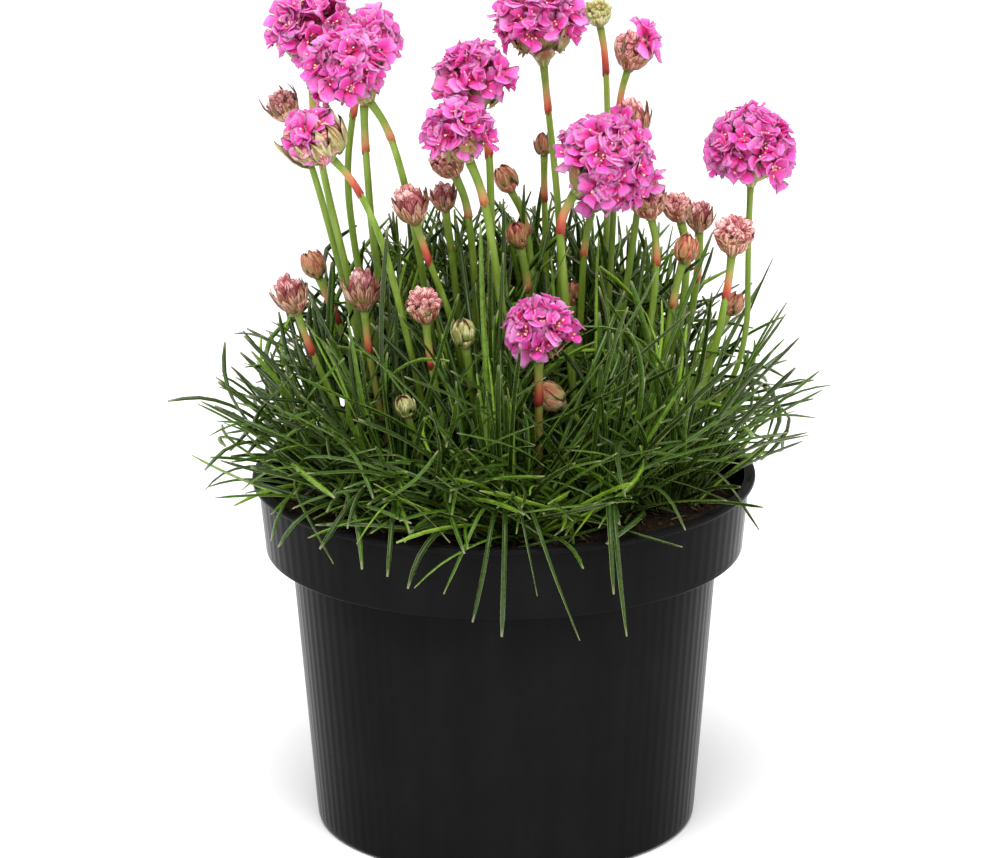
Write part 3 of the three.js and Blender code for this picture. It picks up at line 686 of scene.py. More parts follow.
def scatter_tree():
    """Copies of a shape strewn over the upper side of a surface, each turned its own way."""
    tree, w, given = new_tree("strewn crumbs", {
        "Shape": "Object",
        "Material": "Material",
        "Density": "Float",
        "Smallest": "Float",
        "Largest": "Float",
        "Sink": "Float",
        "Flatness": "Float",
        "Seed": "Int",
    })
    seed = given["Seed"]
    facing = w.node("GeometryNodeInputNormal").outputs["Normal"]
    upper = w.math("GREATER_THAN", w.node("ShaderNodeSeparateXYZ", {0: facing}).outputs["Z"], 0.5)
    strewn = w.node("GeometryNodeDistributePointsOnFaces", {
        "Mesh": given["Geometry"], "Selection": upper, "Density": given["Density"], "Seed": seed,
    }).outputs["Points"]
    index = w.node("GeometryNodeInputIndex")
    tip = w.times(given["Flatness"], w.random(-1.0, 1.0, seed, index))
    turn = w.random(0.0, 2 * math.pi, w.plus(seed, 1.0), index)
    rotation = w.rotation(tip, tip, turn)
    small = w.random(0.0, 1.0, w.plus(seed, 2.0), index)
    size = w.mix(w.times(small, small), given["Smallest"], given["Largest"])
    sunk = w.node("GeometryNodeSetPosition", {
        "Geometry": strewn,
        "Offset": w.vector(0.0, 0.0, w.times(given["Sink"], -1.0)),
    })
    copies = w.node("GeometryNodeInstanceOnPoints", {
        "Points": sunk,
        "Instance": w.node("GeometryNodeObjectInfo", {"Object": given["Shape"]}).outputs["Geometry"],
        "Rotation": rotation,
        "Scale": size,
    })
    shaded = w.stored(copies, "shade", w.random(0.0, 1.0, w.plus(seed, 3.0), index), "INSTANCE")
    end_tree(w, realized(w, shaded, given))
    return tree


def set_curve(node, points):
    """Gives a curve node its points."""
    curve = node.mapping.curves[0]
    for place, value in points[1:-1]:
        curve.points.new(place, value)
    curve.points[0].location = points[0]
    curve.points[-1].location = points[-1]
    node.mapping.update()


# Materials

def new_material(name):
    """Material with a principled shader, and the wiring of its tree."""
    material = bpy.data.materials.new(name)
    material.use_nodes = True
    material.node_tree.nodes.clear()
    w = Wiring(material.node_tree)
    surface = w.node("ShaderNodeBsdfPrincipled")
    w.plug(w.node("ShaderNodeOutputMaterial").inputs["Surface"], surface)
    return material, w, surface


def kept(w, label):
    """A number that the mesh keeps at each point."""
    return w.node("ShaderNodeAttribute", attribute_name=label).outputs["Fac"]


def grain(w, scale, detail=3.0, stretch=(1, 1, 1)):
    """Noise over the object's own coordinates."""
    place = w.node("ShaderNodeTexCoord").outputs["Object"]
    fitted = w.node("ShaderNodeMapping", {"Vector": place, "Scale": stretch})
    return w.node("ShaderNodeTexNoise", {"Vector": fitted, "Scale": scale, "Detail": detail}).outputs["Fac"]


def ramp(w, value, stops):
    """Colour from a number, through stops of (place, colour)."""
    made = w.node("ShaderNodeValToRGB", {0: value})
    elements = made.color_ramp.elements
    while len(elements) < len(stops):
        elements.new(0.5)
    for element, (place, colour) in zip(elements, stops):
        element.position = place
        element.color = (*colour, 1)
    return made.outputs["Color"]


def levels(w, value, low, high, start=0.0, end=1.0):
    """Number stretched from one range to another and held inside it."""
    return w.node("ShaderNodeMapRange", {
        "Value": value, "From Min": low, "From Max": high, "To Min": start, "To Max": end,
    }).outputs["Result"]


def relief(w, surface, height, strength, distance):
    """Bump from a height."""
    bump = w.node("ShaderNodeBump", {"Height": height, "Strength": strength, "Distance": distance})
    w.plug(surface.inputs["Normal"], bump)
    return bump


def light_through(surface, weight, tint, depth):
    """Lets light scatter a short way into a surface."""
    surface.inputs["Subsurface Weight"].default_value = weight
    surface.inputs["Subsurface Radius"].default_value = tint
    surface.inputs["Subsurface Scale"].default_value = depth


def flat_sided(w, bump, share):
    """Turns a bump's normal towards that of the bare faces, so that thin rims don't shade dark."""
    facing = w.node("ShaderNodeNewGeometry").outputs
    between = {"Factor": share, "A": facing["Normal"], "B": facing["True Normal"]}
    mixed = w.node("ShaderNodeMix", between, data_type="VECTOR")
    w.plug(bump.inputs["Normal"], w.node("ShaderNodeVectorMath", {0: mixed}, operation="NORMALIZE"))


def pot_plastic():
    """Black moulded plastic, slightly dusty, with faint flow marks down the wall."""
    material, w, surface = new_material("pot_plastic")
    marks = grain(w, 9.0, 4.0, (14, 14, 0.5))
    dust = grain(w, 60.0, 6.0)
    tone = w.times(marks, dust)
    w.plug(surface.inputs["Base Color"], ramp(w, tone, [
        (0.12, (0.0068, 0.0068, 0.0069)),
        (0.3, (0.0082, 0.0083, 0.0084)),
        (0.5, (0.0108, 0.0109, 0.011)),
    ]))
    w.plug(surface.inputs["Roughness"], levels(w, marks, 0.3, 0.7, 0.18, 0.27))
    surface.inputs["IOR"].default_value = 1.08
    surface.inputs["Specular IOR Level"].default_value = 0.5
    fine = grain(w, 900.0, 2.0)
    height = w.plus(w.times(marks, 0.8), w.times(fine, 0.12))
    relief(w, surface, height, 0.25, 0.2 * MM)
    return material


def peat_matter():
    """Dark brown peat with reddish fibres and pale grains."""
    material, w, surface = new_material("peat")
    broad = grain(w, 120.0, 5.0)
    fine = grain(w, 900.0, 4.0)
    tone = w.plus(w.times(broad, 0.55), w.times(fine, 0.45))
    body = ramp(w, tone, [
        (0.3, (0.006, 0.0035, 0.0022)),
        (0.48, (0.02, 0.0105, 0.0058)),
        (0.6, (0.052, 0.024, 0.011)),
        (0.74, (0.13, 0.07, 0.035)),
    ])
    light = levels(w, kept(w, "shade"), 0.75, 1.0, 0.0, 0.5)
    w.plug(surface.inputs["Base Color"], w.blend(light, body, (0.12, 0.06, 0.03, 1)))
    surface.inputs["Roughness"].default_value = 0.92
    surface.inputs["Specular IOR Level"].default_value = 0.25
    relief(w, surface, tone, 0.9, 0.7 * MM)
    return material


def leaf_green():
    """Dark green blade with a painted highlight along its edges, pale at the root and dry at the very tip."""
    material, w, surface = new_material("leaf_green")
    along = kept(w, "along")
    shade = kept(w, "shade")
    edge = kept(w, "edge")
    streaks = grain(w, 700.0, 2.0)
    tone = w.plus(w.times(shade, 0.75), w.times(streaks, 0.25))
    body = ramp(w, tone, [
        (0.12, (0.016, 0.036, 0.004)),
        (0.42, (0.028, 0.066, 0.005)),
        (0.66, (0.06, 0.135, 0.008)),
        (0.86, (0.2, 0.36, 0.02)),
    ])
    # Painted highlight: pale green blended along both edges of each blade.
    rim = levels(w, edge, 0.8, 0.98, 0.0, 0.7)
    edged = w.blend(rim, body, (0.56, 0.68, 0.2, 1))
    rooted = w.blend(levels(w, along, 0.0, 0.12, 0.5, 0.0), edged, (0.14, 0.2, 0.06, 1))
    tipped = w.blend(levels(w, along, 0.955, 1.0, 0.0, 0.5), rooted, (0.45, 0.45, 0.25, 1))
    w.plug(surface.inputs["Base Color"], tipped)
    w.plug(surface.inputs["Roughness"], levels(w, streaks, 0.3, 0.7, 0.2, 0.36))
    surface.inputs["Specular IOR Level"].default_value = 0.32
    relief(w, surface, streaks, 0.2, 0.1 * MM)
    return material


def stem_green():
    """Pale yellow-green stem with fine lengthwise streaks, darker towards the soil."""
    material, w, surface = new_material("stem_green")
    along = kept(w, "along")
    streaks = grain(w, 500.0, 3.0, (1, 1, 0.08))
    body = ramp(w, along, [
        (0.0, (0.08, 0.13, 0.012)),
        (0.3, (0.12, 0.2, 0.014)),
        (0.85, (0.17, 0.28, 0.02)),
        (1.0, (0.22, 0.33, 0.03)),
    ])
    warm = w.blend(kept(w, "tan"), body, (0.32, 0.07, 0.045, 1))
    light = levels(w, streaks, 0.42, 0.7, 0.0, 0.45)
    w.plug(surface.inputs["Base Color"], w.blend(light, warm, (0.42, 0.56, 0.12, 1)))
    surface.inputs["Roughness"].default_value = 0.42
    surface.inputs["Specular IOR Level"].default_value = 0.35
    light_through(surface, 0.08, (0.5, 1.0, 0.3), 0.5 * MM)
    relief(w, surface, streaks, 0.3, 0.12 * MM)
    return material


def sheath_paper():
    """Papery sheath: green under the head, through orange to red at its torn lower edge."""
    material, w, surface = new_material("sheath_paper")
    streaks = grain(w, 520.0, 3.0, (1, 1, 0.1))
    uneven = w.times(w.minus(streaks, 0.5), 0.5)
    fresh = w.times(w.minus(kept(w, "shade"), 0.3), 0.8)
    tone = w.plus(w.plus(kept(w, "along"), uneven), fresh)
    w.plug(surface.inputs["Base Color"], ramp(w, tone, [
        (0.0, (0.4, 0.05, 0.035)),
        (0.16, (0.56, 0.085, 0.04)),
        (0.36, (0.58, 0.24, 0.09)),
        (0.56, (0.38, 0.34, 0.08)),
        (0.75, (0.2, 0.31, 0.03)),
    ]))
    surface.inputs["Roughness"].default_value = 0.55
    light_through(surface, 0.1, (1.0, 0.4, 0.2), 0.5 * MM)
    relief(w, surface, streaks, 0.4, 0.15 * MM)
    return material


def petal_pink():
    """Petal: orange throat, deep rose, bright pink, lilac towards its pale rim, with darker veins."""
    material, w, surface = new_material("petal_pink")
    along = kept(w, "along")
    shade = kept(w, "shade")
    edge = kept(w, "edge")
    cloud = grain(w, 380.0, 2.0)
    reach = w.plus(along, w.times(w.minus(cloud, 0.5), 0.3))
    body = ramp(w, reach, [
        (0.0, (0.88, 0.3, 0.11)),
        (0.12, (0.99, 0.03, 0.18)),
        (0.36, (0.99, 0.032, 0.3)),
        (0.62, (0.96, 0.065, 0.43)),
        (0.86, (0.91, 0.15, 0.54)),
        (1.0, (0.87, 0.33, 0.67)),
    ])
    pale = w.times(levels(w, shade, 0.4, 1.0, 0.0, 0.75), levels(w, reach, 0.3, 0.75))
    light = w.blend(pale, body, (0.88, 0.3, 0.64, 1))
    deep = w.blend(levels(w, shade, 0.0, 0.35, 0.6, 0.0), light, (0.98, 0.03, 0.34, 1))
    across = w.math("ABSOLUTE", w.math("SINE", w.times(edge, 8.0)))
    vein = levels(w, across, 0.0, 0.5, 0.24, 0.0)
    veined = w.blend(vein, deep, (0.86, 0.045, 0.3, 1))
    rim = w.times(levels(w, edge, 0.86, 1.0, 0.0, 0.2), levels(w, along, 0.5, 0.8))
    w.plug(surface.inputs["Base Color"], w.blend(rim, veined, (0.92, 0.5, 0.78, 1)))
    surface.inputs["Roughness"].default_value = 0.55
    surface.inputs["Specular IOR Level"].default_value = 0.3
    light_through(surface, 0.65, (1.0, 0.25, 0.55), 1.9 * MM)
    surface.inputs["Sheen Weight"].default_value = 0.05
    flat_sided(w, relief(w, surface, cloud, 0.25, 0.15 * MM), 0.8)
    return material


def stamen_cream():
    """Stamens: rose threads with cream anthers, half of them spent and dark."""
    material, w, surface = new_material("stamen_cream")
    along = kept(w, "along")
    body = ramp(w, along, [
        (0.0, (0.6, 0.08, 0.2)),
        (0.5, (0.8, 0.3, 0.35)),
        (0.62, (0.88, 0.66, 0.28)),
        (1.0, (0.9, 0.76, 0.46)),
    ])
    spent = w.times(w.math("GREATER_THAN", kept(w, "shade"), 0.5), levels(w, along, 0.5, 0.6))
    aged = w.blend(spent, body, (0.045, 0.012, 0.05, 1))
    speck = levels(w, grain(w, 2200.0, 2.0), 0.5, 0.8, 0.0, 0.4)
    w.plug(surface.inputs["Base Color"], w.blend(speck, aged, (0.5, 0.28, 0.06, 1)))
    surface.inputs["Roughness"].default_value = 0.7
    return material


def tube_rose():
    """Floret tubes and the head's core: rose over brown."""
    material, w, surface = new_material("tube_rose")
    cloud = grain(w, 500.0, 3.0)
    tone = w.plus(kept(w, "along"), w.minus(cloud, 0.5))
    w.plug(surface.inputs["Base Color"], ramp(w, tone, [
        (0.0, (0.3, 0.12, 0.08)),
        (0.45, (0.5, 0.05, 0.16)),
        (1.0, (0.78, 0.06, 0.34)),
    ]))
    surface.inputs["Roughness"].default_value = 0.7
    relief(w, surface, cloud, 0.4, 0.3 * MM)
    return material


def bract_brown():
    """Bracts under a head: green-brown, darker red at the tips, with pale papery rims."""
    material, w, surface = new_material("bract_brown")
    streaks = grain(w, 600.0, 3.0)
    tone = w.plus(kept(w, "along"), w.times(w.minus(streaks, 0.5), 0.6))
    body = ramp(w, tone, [
        (0.0, (0.24, 0.32, 0.07)),
        (0.4, (0.3, 0.28, 0.08)),
        (0.75, (0.33, 0.13, 0.06)),
        (1.0, (0.2, 0.05, 0.035)),
    ])
    rim = levels(w, w.plus(kept(w, "edge"), w.minus(streaks, 0.5)), 0.55, 0.9, 0.0, 0.75)
    w.plug(surface.inputs["Base Color"], w.blend(rim, body, (0.72, 0.62, 0.42, 1)))
    surface.inputs["Roughness"].default_value = 0.6
    relief(w, surface, streaks, 0.4, 0.15 * MM)
    return material


def bud_scale(name, foot, dark, tip, middle, paper):
    """Bud scales: streaks from dark through rose to cream above a green or brown foot, and papery rims."""
    material, w, surface = new_material(name)
    along = kept(w, "along")
    edge = kept(w, "edge")
    shade = kept(w, "shade")
    lengthwise = w.vector(w.times(edge, 2.6), w.times(along, 1.2), w.times(shade, 60.0))
    streaks = w.node("ShaderNodeTexNoise", {"Vector": lengthwise, "Scale": 1.7, "Detail": 2.5}).outputs["Fac"]
    cloud = grain(w, 480.0, 3.0)
    drawn = w.plus(streaks, w.times(w.minus(cloud, 0.5), 0.5))
    upper = ramp(w, drawn, [(0.38, dark), (0.46, tip), (0.54, middle), (0.64, paper)])
    low = levels(w, w.plus(along, w.minus(cloud, 0.5)), 0.1, 0.6, 1.0, 0.0)
    footed = w.blend(low, upper, (*foot, 1))
    rim = levels(w, w.plus(edge, w.minus(cloud, 0.5)), 0.74, 0.98)
    rim = w.times(rim, levels(w, along, 0.15, 0.6, 0.1, 0.9))
    w.plug(surface.inputs["Base Color"], w.blend(rim, footed, (*paper, 1)))
    surface.inputs["Roughness"].default_value = 0.5
    light_through(surface, 0.08, (1.0, 0.4, 0.4), 0.3 * MM)
    relief(w, surface, streaks, 0.7, 0.25 * MM)
    return material


def floor_paper():
    """Pale studio floor."""
    material, w, surface = new_material("floor_paper")
    w.plug(surface.inputs["Base Color"], ramp(w, grain(w, 4.0), [
        (0.3, (0.94, 0.94, 0.94)),
        (0.7, (0.96, 0.96, 0.96)),
    ]))
    surface.inputs["Roughness"].default_value = 0.9
    surface.inputs["Specular IOR Level"].default_value = 0.1
    return material


# Small shapes that are copied

def petal_shape(length, width):
    """Rounded petal on a narrow claw; it reaches out along +X, slightly hollow, and turns down at its rim."""
    outline = [(0.0, 0.24), (0.3, 0.56), (0.6, 0.9), (0.84, 1.0), (1.0, 0.78)]
    grid = np.zeros((len(outline), 5, 3))
    for row, (reach, half) in enumerate(outline):
        for column, side in enumerate((-1, -0.5, 0, 0.5, 1)):
            last = row == len(outline) - 1
            out = reach - last * (0.1 * side * side + 0.09 * (1 - abs(side)))
            x = 0.08 + 0.92 * out
            y = 0.5 * width / length * half * side
            z = 0.08 * (side * half) ** 2 + 0.2 * out - 0.26 * out * out
            grid[row, column] = (length * x, length * y, length * z)
    return new_piece("petal_shape", *closed_sheet(grid, 0.15 * MM))


def scale_shape(name, arc, width, pointed, flare):
    """Scale that hugs a ball of radius 1 round the origin, from its foot at +Z up towards -X."""
    outline = [(0.0, 0.6), (0.25, 0.95), (0.5, 1.0), (0.78, 1 - 0.4 * pointed), (1.0, 0.62 - 0.54 * pointed)]
    grid = np.zeros((len(outline), 5, 3))
    for row, (reach, half) in enumerate(outline):
        for column, side in enumerate((-1, -0.5, 0, 0.5, 1)):
            rounding = 0.1 * side * side if row == len(outline) - 1 else 0
            angle = arc * (reach - rounding)
            lateral = 0.5 * width * half * side
            rise = 1 + 0.04 * reach + flare * reach ** 3 + 0.04 * (1 - side * side)
            spot = np.array([-math.sin(angle), lateral, math.cos(angle)])
            grid[row, column] = rise * spot / math.hypot(1, lateral)
    return new_piece(name, *closed_sheet(grid[:, ::-1], 0.06))


def bract_shape(name, length, width, curl):
    """Slender pointed bract that reaches out along +X and curls up."""
    outline = [(0.0, 0.7), (0.25, 1.0), (0.55, 0.8), (0.82, 0.42), (1.0, 0.06)]
    grid = np.zeros((len(outline), 3, 3))
    for row, (reach, half) in enumerate(outline):
        for column, side in enumerate((-1, 0, 1)):
            angle = curl * reach
            x = length * math.sin(angle) / curl
            z = length * (1 - math.cos(angle)) / curl + 0.15 * width * half * side * side
            grid[row, column] = (x, 0.5 * width * half * side, z)
    return new_piece(name, *closed_sheet(grid, 0.2 * MM))


def crumb_shape():
    """Rough lump of radius 1."""
    profile = [(0, -0.8), (0.75, -0.45), (0.95, 0.15), (0.6, 0.7), (0, 0.85)]
    points, faces, values = spindle(profile, 5)
    dice = random.Random(CRUMB_SEED)
    rough = [tuple(axis * dice.uniform(0.72, 1.15) for axis in point) for point in points]
    return new_piece("crumb_shape", rough, faces, values)


def fibre_shape():
    """Bent thread of length 1, lying along X."""
    bends = [(0, 0, 0.0), (0.3, 0.07, 0.05), (0.6, -0.04, 0.09), (0.85, 0.06, 0.04), (1, 0.16, 0.0)]
    girth = np.array([0.02, 0.035, 0.035, 0.03, 0.01])
    line = path_piece("fibre_shape", [np.array(bends) - (0.5, 0, 0)], {"girth": [girth]})
    return settle(grow(line, TREES["stem"], {"Sides": 3}))


# Pot

def rounded(outline, radius, steps=3):
    """Outline with each corner taken round; (radius, height, fluted) points of a closed loop."""
    made = []
    count = len(outline)
    for index, (r, z, fluted) in enumerate(outline):
        here = np.array([r, z])
        before = np.array(outline[index - 1][:2])
        after = np.array(outline[(index + 1) % count][:2])
        if r == 0:
            made.append((r, z, 0))
            continue
        into = min(radius, 0.45 * np.linalg.norm(before - here))
        out = min(radius, 0.45 * np.linalg.norm(after - here))
        start = here + into * unit(before - here)
        end = here + out * unit(after - here)
        for step in range(steps + 1):
            t = step / steps
            spot = (1 - t) ** 2 * start + 2 * t * (1 - t) * here + t * t * end
            made.append((spot[0], spot[1], fluted))
    return made


def make_pot():
    """Moulded pot: lip, band and stepped-in body, fine flutes down the outside, drain holes in the floor."""
    ledge = POT_HEIGHT - BAND_HEIGHT
    under_lip = POT_HEIGHT - LIP_THICKNESS
    outline = [
        (0, 0, 0),
        (BASE_RADIUS - 3 * MM, 0, 0),
        (BASE_RADIUS - 0.1 * MM, 0.6 * MM, 0),
        (BASE_RADIUS + 0.2 * MM, 3 * MM, 1),
        (BODY_TOP_RADIUS - 0.2 * MM, ledge - 3 * MM, 1),
        (BODY_TOP_RADIUS + 0.1 * MM, ledge, 0),
        (BAND_BOTTOM_RADIUS, ledge, 0),
        (BAND_BOTTOM_RADIUS + 0.2 * MM, ledge + 2.5 * MM, 1),
        (BAND_TOP_RADIUS - 0.15 * MM, under_lip - 2 * MM, 1),
        (BAND_TOP_RADIUS, under_lip, 0),
        (RIM_RADIUS, under_lip, 0),
        (RIM_RADIUS, POT_HEIGHT, 0),
        (BAND_TOP_RADIUS - WALL, POT_HEIGHT, 0),
        (BAND_BOTTOM_RADIUS - WALL, ledge + WALL, 0),
        (BODY_TOP_RADIUS - WALL, ledge + WALL, 0),
        (BASE_RADIUS - WALL, FLOOR, 0),
        (0, FLOOR, 0),
    ]
    profile = rounded(outline, 0.55 * MM)
    sides = FLUTES * STEPS_PER_FLUTE
    points = []
    faces = []
    rows = []
    for radius, height, fluted in profile:
        if radius == 0:
            rows.append([len(points)] * sides)
            points.append((0, 0, height))
            continue
        rows.append(list(range(len(points), len(points) + sides)))
        for side in range(sides):
            angle = 2 * math.pi * side / sides
            dip = fluted * FLUTE_DEPTH * (0.5 - 0.5 * math.cos(FLUTES * angle))
            points.append(((radius - dip) * math.cos(angle), (radius - dip) * math.sin(angle), height))
    for lower, upper in zip(rows, rows[1:]):
        for side in range(sides):
            following = (side + 1) % sides
            corners = [lower[side], lower[following], upper[following], upper[side]]
            face = [corner for place, corner in enumerate(corners) if corner not in corners[:place]]
            if len(face) > 2:
                faces.append(face)
    pot = new_piece("pot_fluted", points, faces)
    pot.data.materials.append(MATERIALS["pot"])
    cut_drain_holes(pot)
    return pot


def cut_drain_holes(pot):
    """Drills the ring of drain holes through the pot's floor."""
    profile = [(0, -FLOOR), (DRAIN_RADIUS, -FLOOR), (DRAIN_RADIUS, 2 * FLOOR), (0, 2 * FLOOR)]
    drills = []
    for hole in range(DRAIN_HOLES):
        angle = 2 * math.pi * (hole + 0.5) / DRAIN_HOLES
        points, faces, _ = spindle(profile, 24)
        across, deep = DRAIN_CIRCLE * math.cos(angle), DRAIN_CIRCLE * math.sin(angle)
        drill = new_piece(f"drill_{hole}", [(x + across, y + deep, z) for x, y, z in points], faces)
        drills.append(drill)
        cut = pot.modifiers.new("drain hole", "BOOLEAN")
        cut.operation = "DIFFERENCE"
        cut.solver = "EXACT"
        cut.object = drill
    settle(pot)
    for drill in drills:
        bpy.data.objects.remove(drill)


# Peat

def peat_height(x, y):
    """Height of the uneven top of the peat."""
    out = math.hypot(x, y) / BAND_BOTTOM_RADIUS
    place = Vector((x, y, 0)) / (9 * MM)
    bumps = noise.noise(place) + 0.5 * noise.noise(2.3 * place) + 0.3 * noise.noise(5.1 * place)
    return SOIL_LEVEL + SOIL_MOUND * (1 - out * out) + PEAT_ROUGHNESS * bumps * (1 - 0.6 * out ** 4)


def make_peat():
    """Peat that fills the pot, with an uneven top."""
    ledge = POT_HEIGHT - BAND_HEIGHT + WALL + SOIL_GAP
    clear = WALL + SOIL_GAP
    edge = BAND_BOTTOM_RADIUS - clear
    walls = [
        (BASE_RADIUS - clear, FLOOR + SOIL_GAP),
        (BODY_TOP_RADIUS - clear, ledge),
        (edge, ledge),
        (edge, SOIL_LEVEL - 1.5 * MM),
    ]
    sides, rings = 120, 34
    points = [(0, 0, FLOOR + SOIL_GAP)]
    for radius, height in walls:
        points += [(radius * across, radius * deep, height) for across, deep in directions(sides)]
    for ring in range(rings, 0, -1):
        radius = 0.995 * edge * ring / rings
        for across, deep in directions(sides):
            x, y = radius * across, radius * deep
            points.append((x, y, peat_height(x, y)))
    points.append((0, 0, peat_height(0, 0)))
    faces = turned_faces(sides, len(walls) + rings)
    peat = new_piece("peat_body", points, faces)
    peat.data.materials.append(MATERIALS["peat"])
    return peat


def strew(name, ground, shape, sizes):
    """Crumbs or fibres strewn over the peat."""
    piece = new_piece(name, [], [])
    piece.data = ground.data.copy()
    return settle(grow(piece, TREES["scatter"], {"Shape": shape, **sizes}))


# Leaves

def in_air(points):
    """True where all points clear the pot and the peat."""
    out = np.hypot(points[:, 0], points[:, 1])
    above = points[:, 2] > POT_HEIGHT + 1.0 * MM
    inside = (out < BAND_BOTTOM_RADIUS - WALL - 1.4 * MM) & (points[:, 2] > SOIL_LEVEL + 1.2 * MM)
    beyond = out > RIM_RADIUS + 1.1 * MM
    return bool(np.all(above | inside | beyond))


def windows_of(flowers):
    """Start, way and radius of each space that leaves keep clear, in front of low heads and stems."""
    way = unit(np.array([0, -1, WINDOW_RISE]))
    windows = []
    for flower in flowers:
        low = flower["centre"][2] < WINDOW_TOP
        if low:
            start = flower["centre"] - 0.3 * flower["radius"] * way
            windows.append((start, way, flower["radius"] + HEAD_SHOWN_PAST))
        line = smooth_path(flower["line"], 40)
        below = np.linalg.norm(line - line[-1], axis=1)
        for spot in line[below < flower.get("shown", STEM_SHOWN * low)][::2]:
            windows.append((spot, way, STEM_WINDOW))
    return tuple(np.array(column) for column in zip(*windows))


def window_shifts(line, windows):
    """For each point of a line and each window, how far in it is and the way out sideways."""
    starts, ways, radii = windows
    offset = line[:, None] - starts[None]
    depth = np.einsum("psa,sa->ps", offset, ways)
    sideways = offset - depth[..., None] * ways[None]
    reach = np.linalg.norm(sideways, axis=2)
    inside = (depth > 0) & (depth < WINDOW_DEPTH)
    overlap = np.where(inside, radii[None] - reach, -1.0)
    return overlap, sideways / np.maximum(reach, 1e-9)[..., None]


def part_aside(line, windows):
    """The leaf bent sideways from its root until it clears the windows, or None where it can't."""
    for _ in range(5):
        overlap, way_out = window_shifts(line, windows)
        deepest = np.unravel_index(np.argmax(overlap), overlap.shape)
        if overlap[deepest] <= 0:
            return line
        push = (overlap[deepest] + 0.3 * MM) * way_out[deepest]
        share = np.minimum(np.arange(len(line)) / max(deepest[0], 1), 1.5) ** 1.3
        line = line + share[:, None] * push
    return line if overlap[deepest] < 1.2 * MM else None


def shows_peat(line):
    """True where a line stays off the bare peat and out of the space in front of it."""
    for x, y, radius in BARE_PEAT:
        ahead = y + radius - line[:, 1]
        low = line[:, 2] < SOIL_LEVEL + 9 * MM + WINDOW_RISE * ahead
        if np.any((np.abs(line[:, 0] - x) < radius) & (ahead > 0) & low):
            return False
    return True


def hang_to(line, lowest):
    """The line cut off where it comes down past a height."""
    below = np.nonzero(line[:, 2] < lowest)[0]
    if len(below) == 0 or line[-1, 2] > lowest:
        return line
    return evenly(line[:max(below[0], 3)], len(line))


def slant_hanging(line):
    """A leaf that hangs over the rim, drawn sideways evenly on its way down."""
    if line[-1, 2] > POT_HEIGHT:
        return line
    slanted = line.copy()
    share = np.linspace(0, 1, len(line)) ** 1.8
    slanted[:, 0] = line[0, 0] + (line[-1, 0] - line[0, 0]) * share
    return slanted


def outside(line):
    """For each point, True where it strays above the outline that the plant has from the front."""
    seen = line[:, 2] + SIGHT_SLOPE * line[:, 1] - ROOT_HEIGHT
    out = (line[:, 0] - OUTLINE_MIDDLE) / OUTLINE_REACH
    return (out ** 2 + (seen / OUTLINE_RISE) ** 2 > 1) & (seen > OUTLINE_LOW)


def in_mound(line):
    """True where a line stays inside the rounded mound of leaves, which is higher at the back."""
    out = np.hypot(line[:, 0], line[:, 1]) / MOUND_REACH
    rise = (line[:, 2] - ROOT_HEIGHT) / (MOUND_RISE * (1 + MOUND_SLOPE * line[:, 1]))
    return bool(np.all(out ** 2 + rise ** 2 < 1))


def cut_back(line):
    """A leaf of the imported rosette, ended where it strays outside the plant's outline."""
    astray = np.nonzero(outside(line))[0]
    if len(astray) == 0:
        return line
    return evenly(line[:max(astray[0], 5)], len(line))


def how_far_back(crown):
    """0 at the front of the pot and its middle, 1 near its back."""
    return min(max((crown[1] + 10 * MM) / (45 * MM), 0.0), 1.0)


def arching_line(crown, share, around, dice):
    """Middle line of a fill leaf that arches out of its crown; back leaves are longer and steeper."""
    x, y = crown
    behind = how_far_back(crown)
    outward = math.atan2(y, x)
    offset = math.hypot(x, y) / RIM_RADIUS
    heading = around + dice.gauss(0, 0.75)
    sideways = offset * max(0.0, math.cos(heading - outward)) * (1 - behind)
    steep = math.radians(88 - (60 - 34 * behind) * share - 26 * sideways + dice.gauss(0, 11))
    bend = math.radians(dice.gauss(56, 38) * (0.4 + 0.95 * share) * (1 - 0.3 * behind))
    late = dice.uniform(0.7, 1.8)
    stretch = dice.random() ** (1 - 0.6 * behind)
    length = FILL_SHORTEST + (FILL_LONGEST - FILL_SHORTEST) * stretch * (1 - 0.25 * share)
    turn = dice.gauss(0, 1.2)
    root = CROWN_RADIUS * math.sqrt(share)
    line = [np.array([x + root * math.cos(around), y + root * math.sin(around), ROOT_HEIGHT])]
    steps = 7
    for step in range(steps):
        at = (step + 0.5) / steps
        climb = steep - bend * at ** late
        angle = heading + turn * at ** 1.3
        move = np.array([
            math.cos(climb) * math.cos(angle) + 0.45 * offset * math.cos(outward),
            math.cos(climb) * math.sin(angle) + 0.45 * offset * math.sin(outward),
            math.sin(climb),
        ])
        line.append(line[-1] + length / steps * unit(move))
    return smooth_path(line, LEAF_STEPS + 1)


